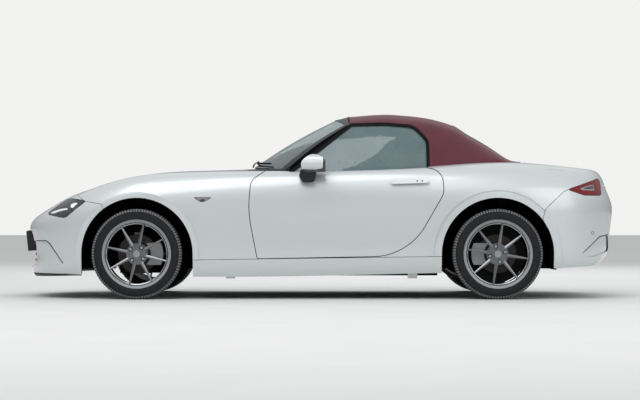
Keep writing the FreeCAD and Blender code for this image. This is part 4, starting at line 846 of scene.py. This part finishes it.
def stuffed(name, y_from, y_to, outline):
    """A pad whose cover swells under pressure, but nowhere by more than its seams allow."""
    made = plate(name, outline, lambda a, b: (a, y_from / 1000, b), (0, (y_to - y_from) / 1000, 0))
    alone(made)
    voxels = made.modifiers.new("voxels", "REMESH")
    voxels.mode, voxels.voxel_size = "VOXEL", VOXEL
    bpy.ops.object.modifier_apply(modifier="voxels")
    cloth = made.modifiers.new("cover", "CLOTH")
    cloth.settings.use_pressure = True
    cloth.settings.uniform_pressure_force = 4.0
    cloth.settings.effector_weights.gravity = 0.0
    for step in range(1, 21):
        scene.frame_set(step)
    blown = made.evaluated_get(bpy.context.evaluated_depsgraph_get()).data
    moves = [after.co - before.co for after, before in zip(blown.vertices, made.data.vertices)]
    made.modifiers.remove(cloth)
    for vertex, move in zip(made.data.vertices, moves):
        vertex.co += move if move.length < SWELL else move.normalized() * SWELL
    scene.frame_set(1)
    round_off = made.modifiers.new("round_off", "SUBSURF")
    round_off.levels = round_off.render_levels = 1
    bpy.ops.object.modifier_apply(modifier="round_off")
    bpy.ops.object.shade_smooth()
    made.data.materials.append(leather)
    return made


masters = [stuffed(*row) for row in PADS]
shell = plate("seat_shell", SHELL, lambda a, b: (a, -0.2, b), (0, 0.4, 0))
shell.data.materials.append(moulded)
for master in masters + [shell]:
    for hand, side in SIDES:
        copy = master.copy()
        copy.data = master.data.copy()
        copy.name = "seat_%s_%s" % (side, master.name.replace("seat_", ""))
        scene.collection.objects.link(copy)
        alone(copy)
        copy.location = (0, hand * SEAT_MIDDLE, 0)
        bpy.ops.object.transform_apply(location=True, rotation=True, scale=True)
        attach(copy, "body")
        if master is not shell:
            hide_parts("seat_" + side)
    bpy.data.objects.remove(master)


# Hoops behind the seats and wipers
# Steel tube, bent and painted black; the wipers rest along the foot of the screen on their two arms.
def bar(name, points, radius, material):
    """A round bar that bends smoothly from point to point."""
    data = bpy.data.curves.new(name, "CURVE")
    data.dimensions = "3D"
    data.bevel_depth, data.bevel_resolution, data.use_fill_caps = radius, 4, True
    line = data.splines.new("NURBS")
    line.points.add(len(points) - 1)
    for point, spot in zip(line.points, points):
        point.co = (*spot, 1)
    line.use_endpoint_u, line.order_u, line.resolution_u = True, 3, 8
    made = bpy.data.objects.new(name, data)
    scene.collection.objects.link(made)
    alone(made)
    bpy.ops.object.convert(target="MESH")
    made = bpy.context.object
    closed_up(made)
    smooth(made, 40)
    made.data.materials.append(material)
    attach(made, "body")
    return made


# Run and rise of one metre along the screen's slope
RUN, RISE = 0.864, 0.504


def screen_foot(s, up, off):
    """A point near the foot of the screen: s across it, up its slope and off its face, in metres."""
    x, y, z = -0.450 + 0.235 * abs(s) ** 2.6, 0.712 * s, 0.860 - 0.026 * s * s
    return (x + RUN * up - RISE * off, y, z + RISE * up + RUN * off)


for hand, side in SIDES:
    y = hand * SEAT_MIDDLE
    hoop = [(0.775, y - 0.19, 0.684), (0.770, y - 0.18, 0.98), (0.768, y - 0.13, 1.04), (0.768, y, 1.05),
            (0.768, y + 0.13, 1.04), (0.770, y + 0.18, 0.98), (0.775, y + 0.19, 0.684)]
    bar("seat_hoop_" + side, hoop, 0.016, gloss_black)
for name, first, last, root in (("left", -0.72, -0.02, 0.05), ("right", 0.04, 0.62, 0.70)):
    shares = [first + (last - first) * k / 6 for k in range(7)]
    bar("wiper_blade_" + name, [screen_foot(s, 0.035, 0.014) for s in shares], 0.006, epdm)
    middle = (first + last) / 2
    arm = [screen_foot(root, -0.004, 0.012), screen_foot(root - 0.08, 0.012, 0.03), screen_foot(middle, 0.035, 0.024)]
    bar("wiper_arm_" + name, arm, 0.0055, gloss_black)
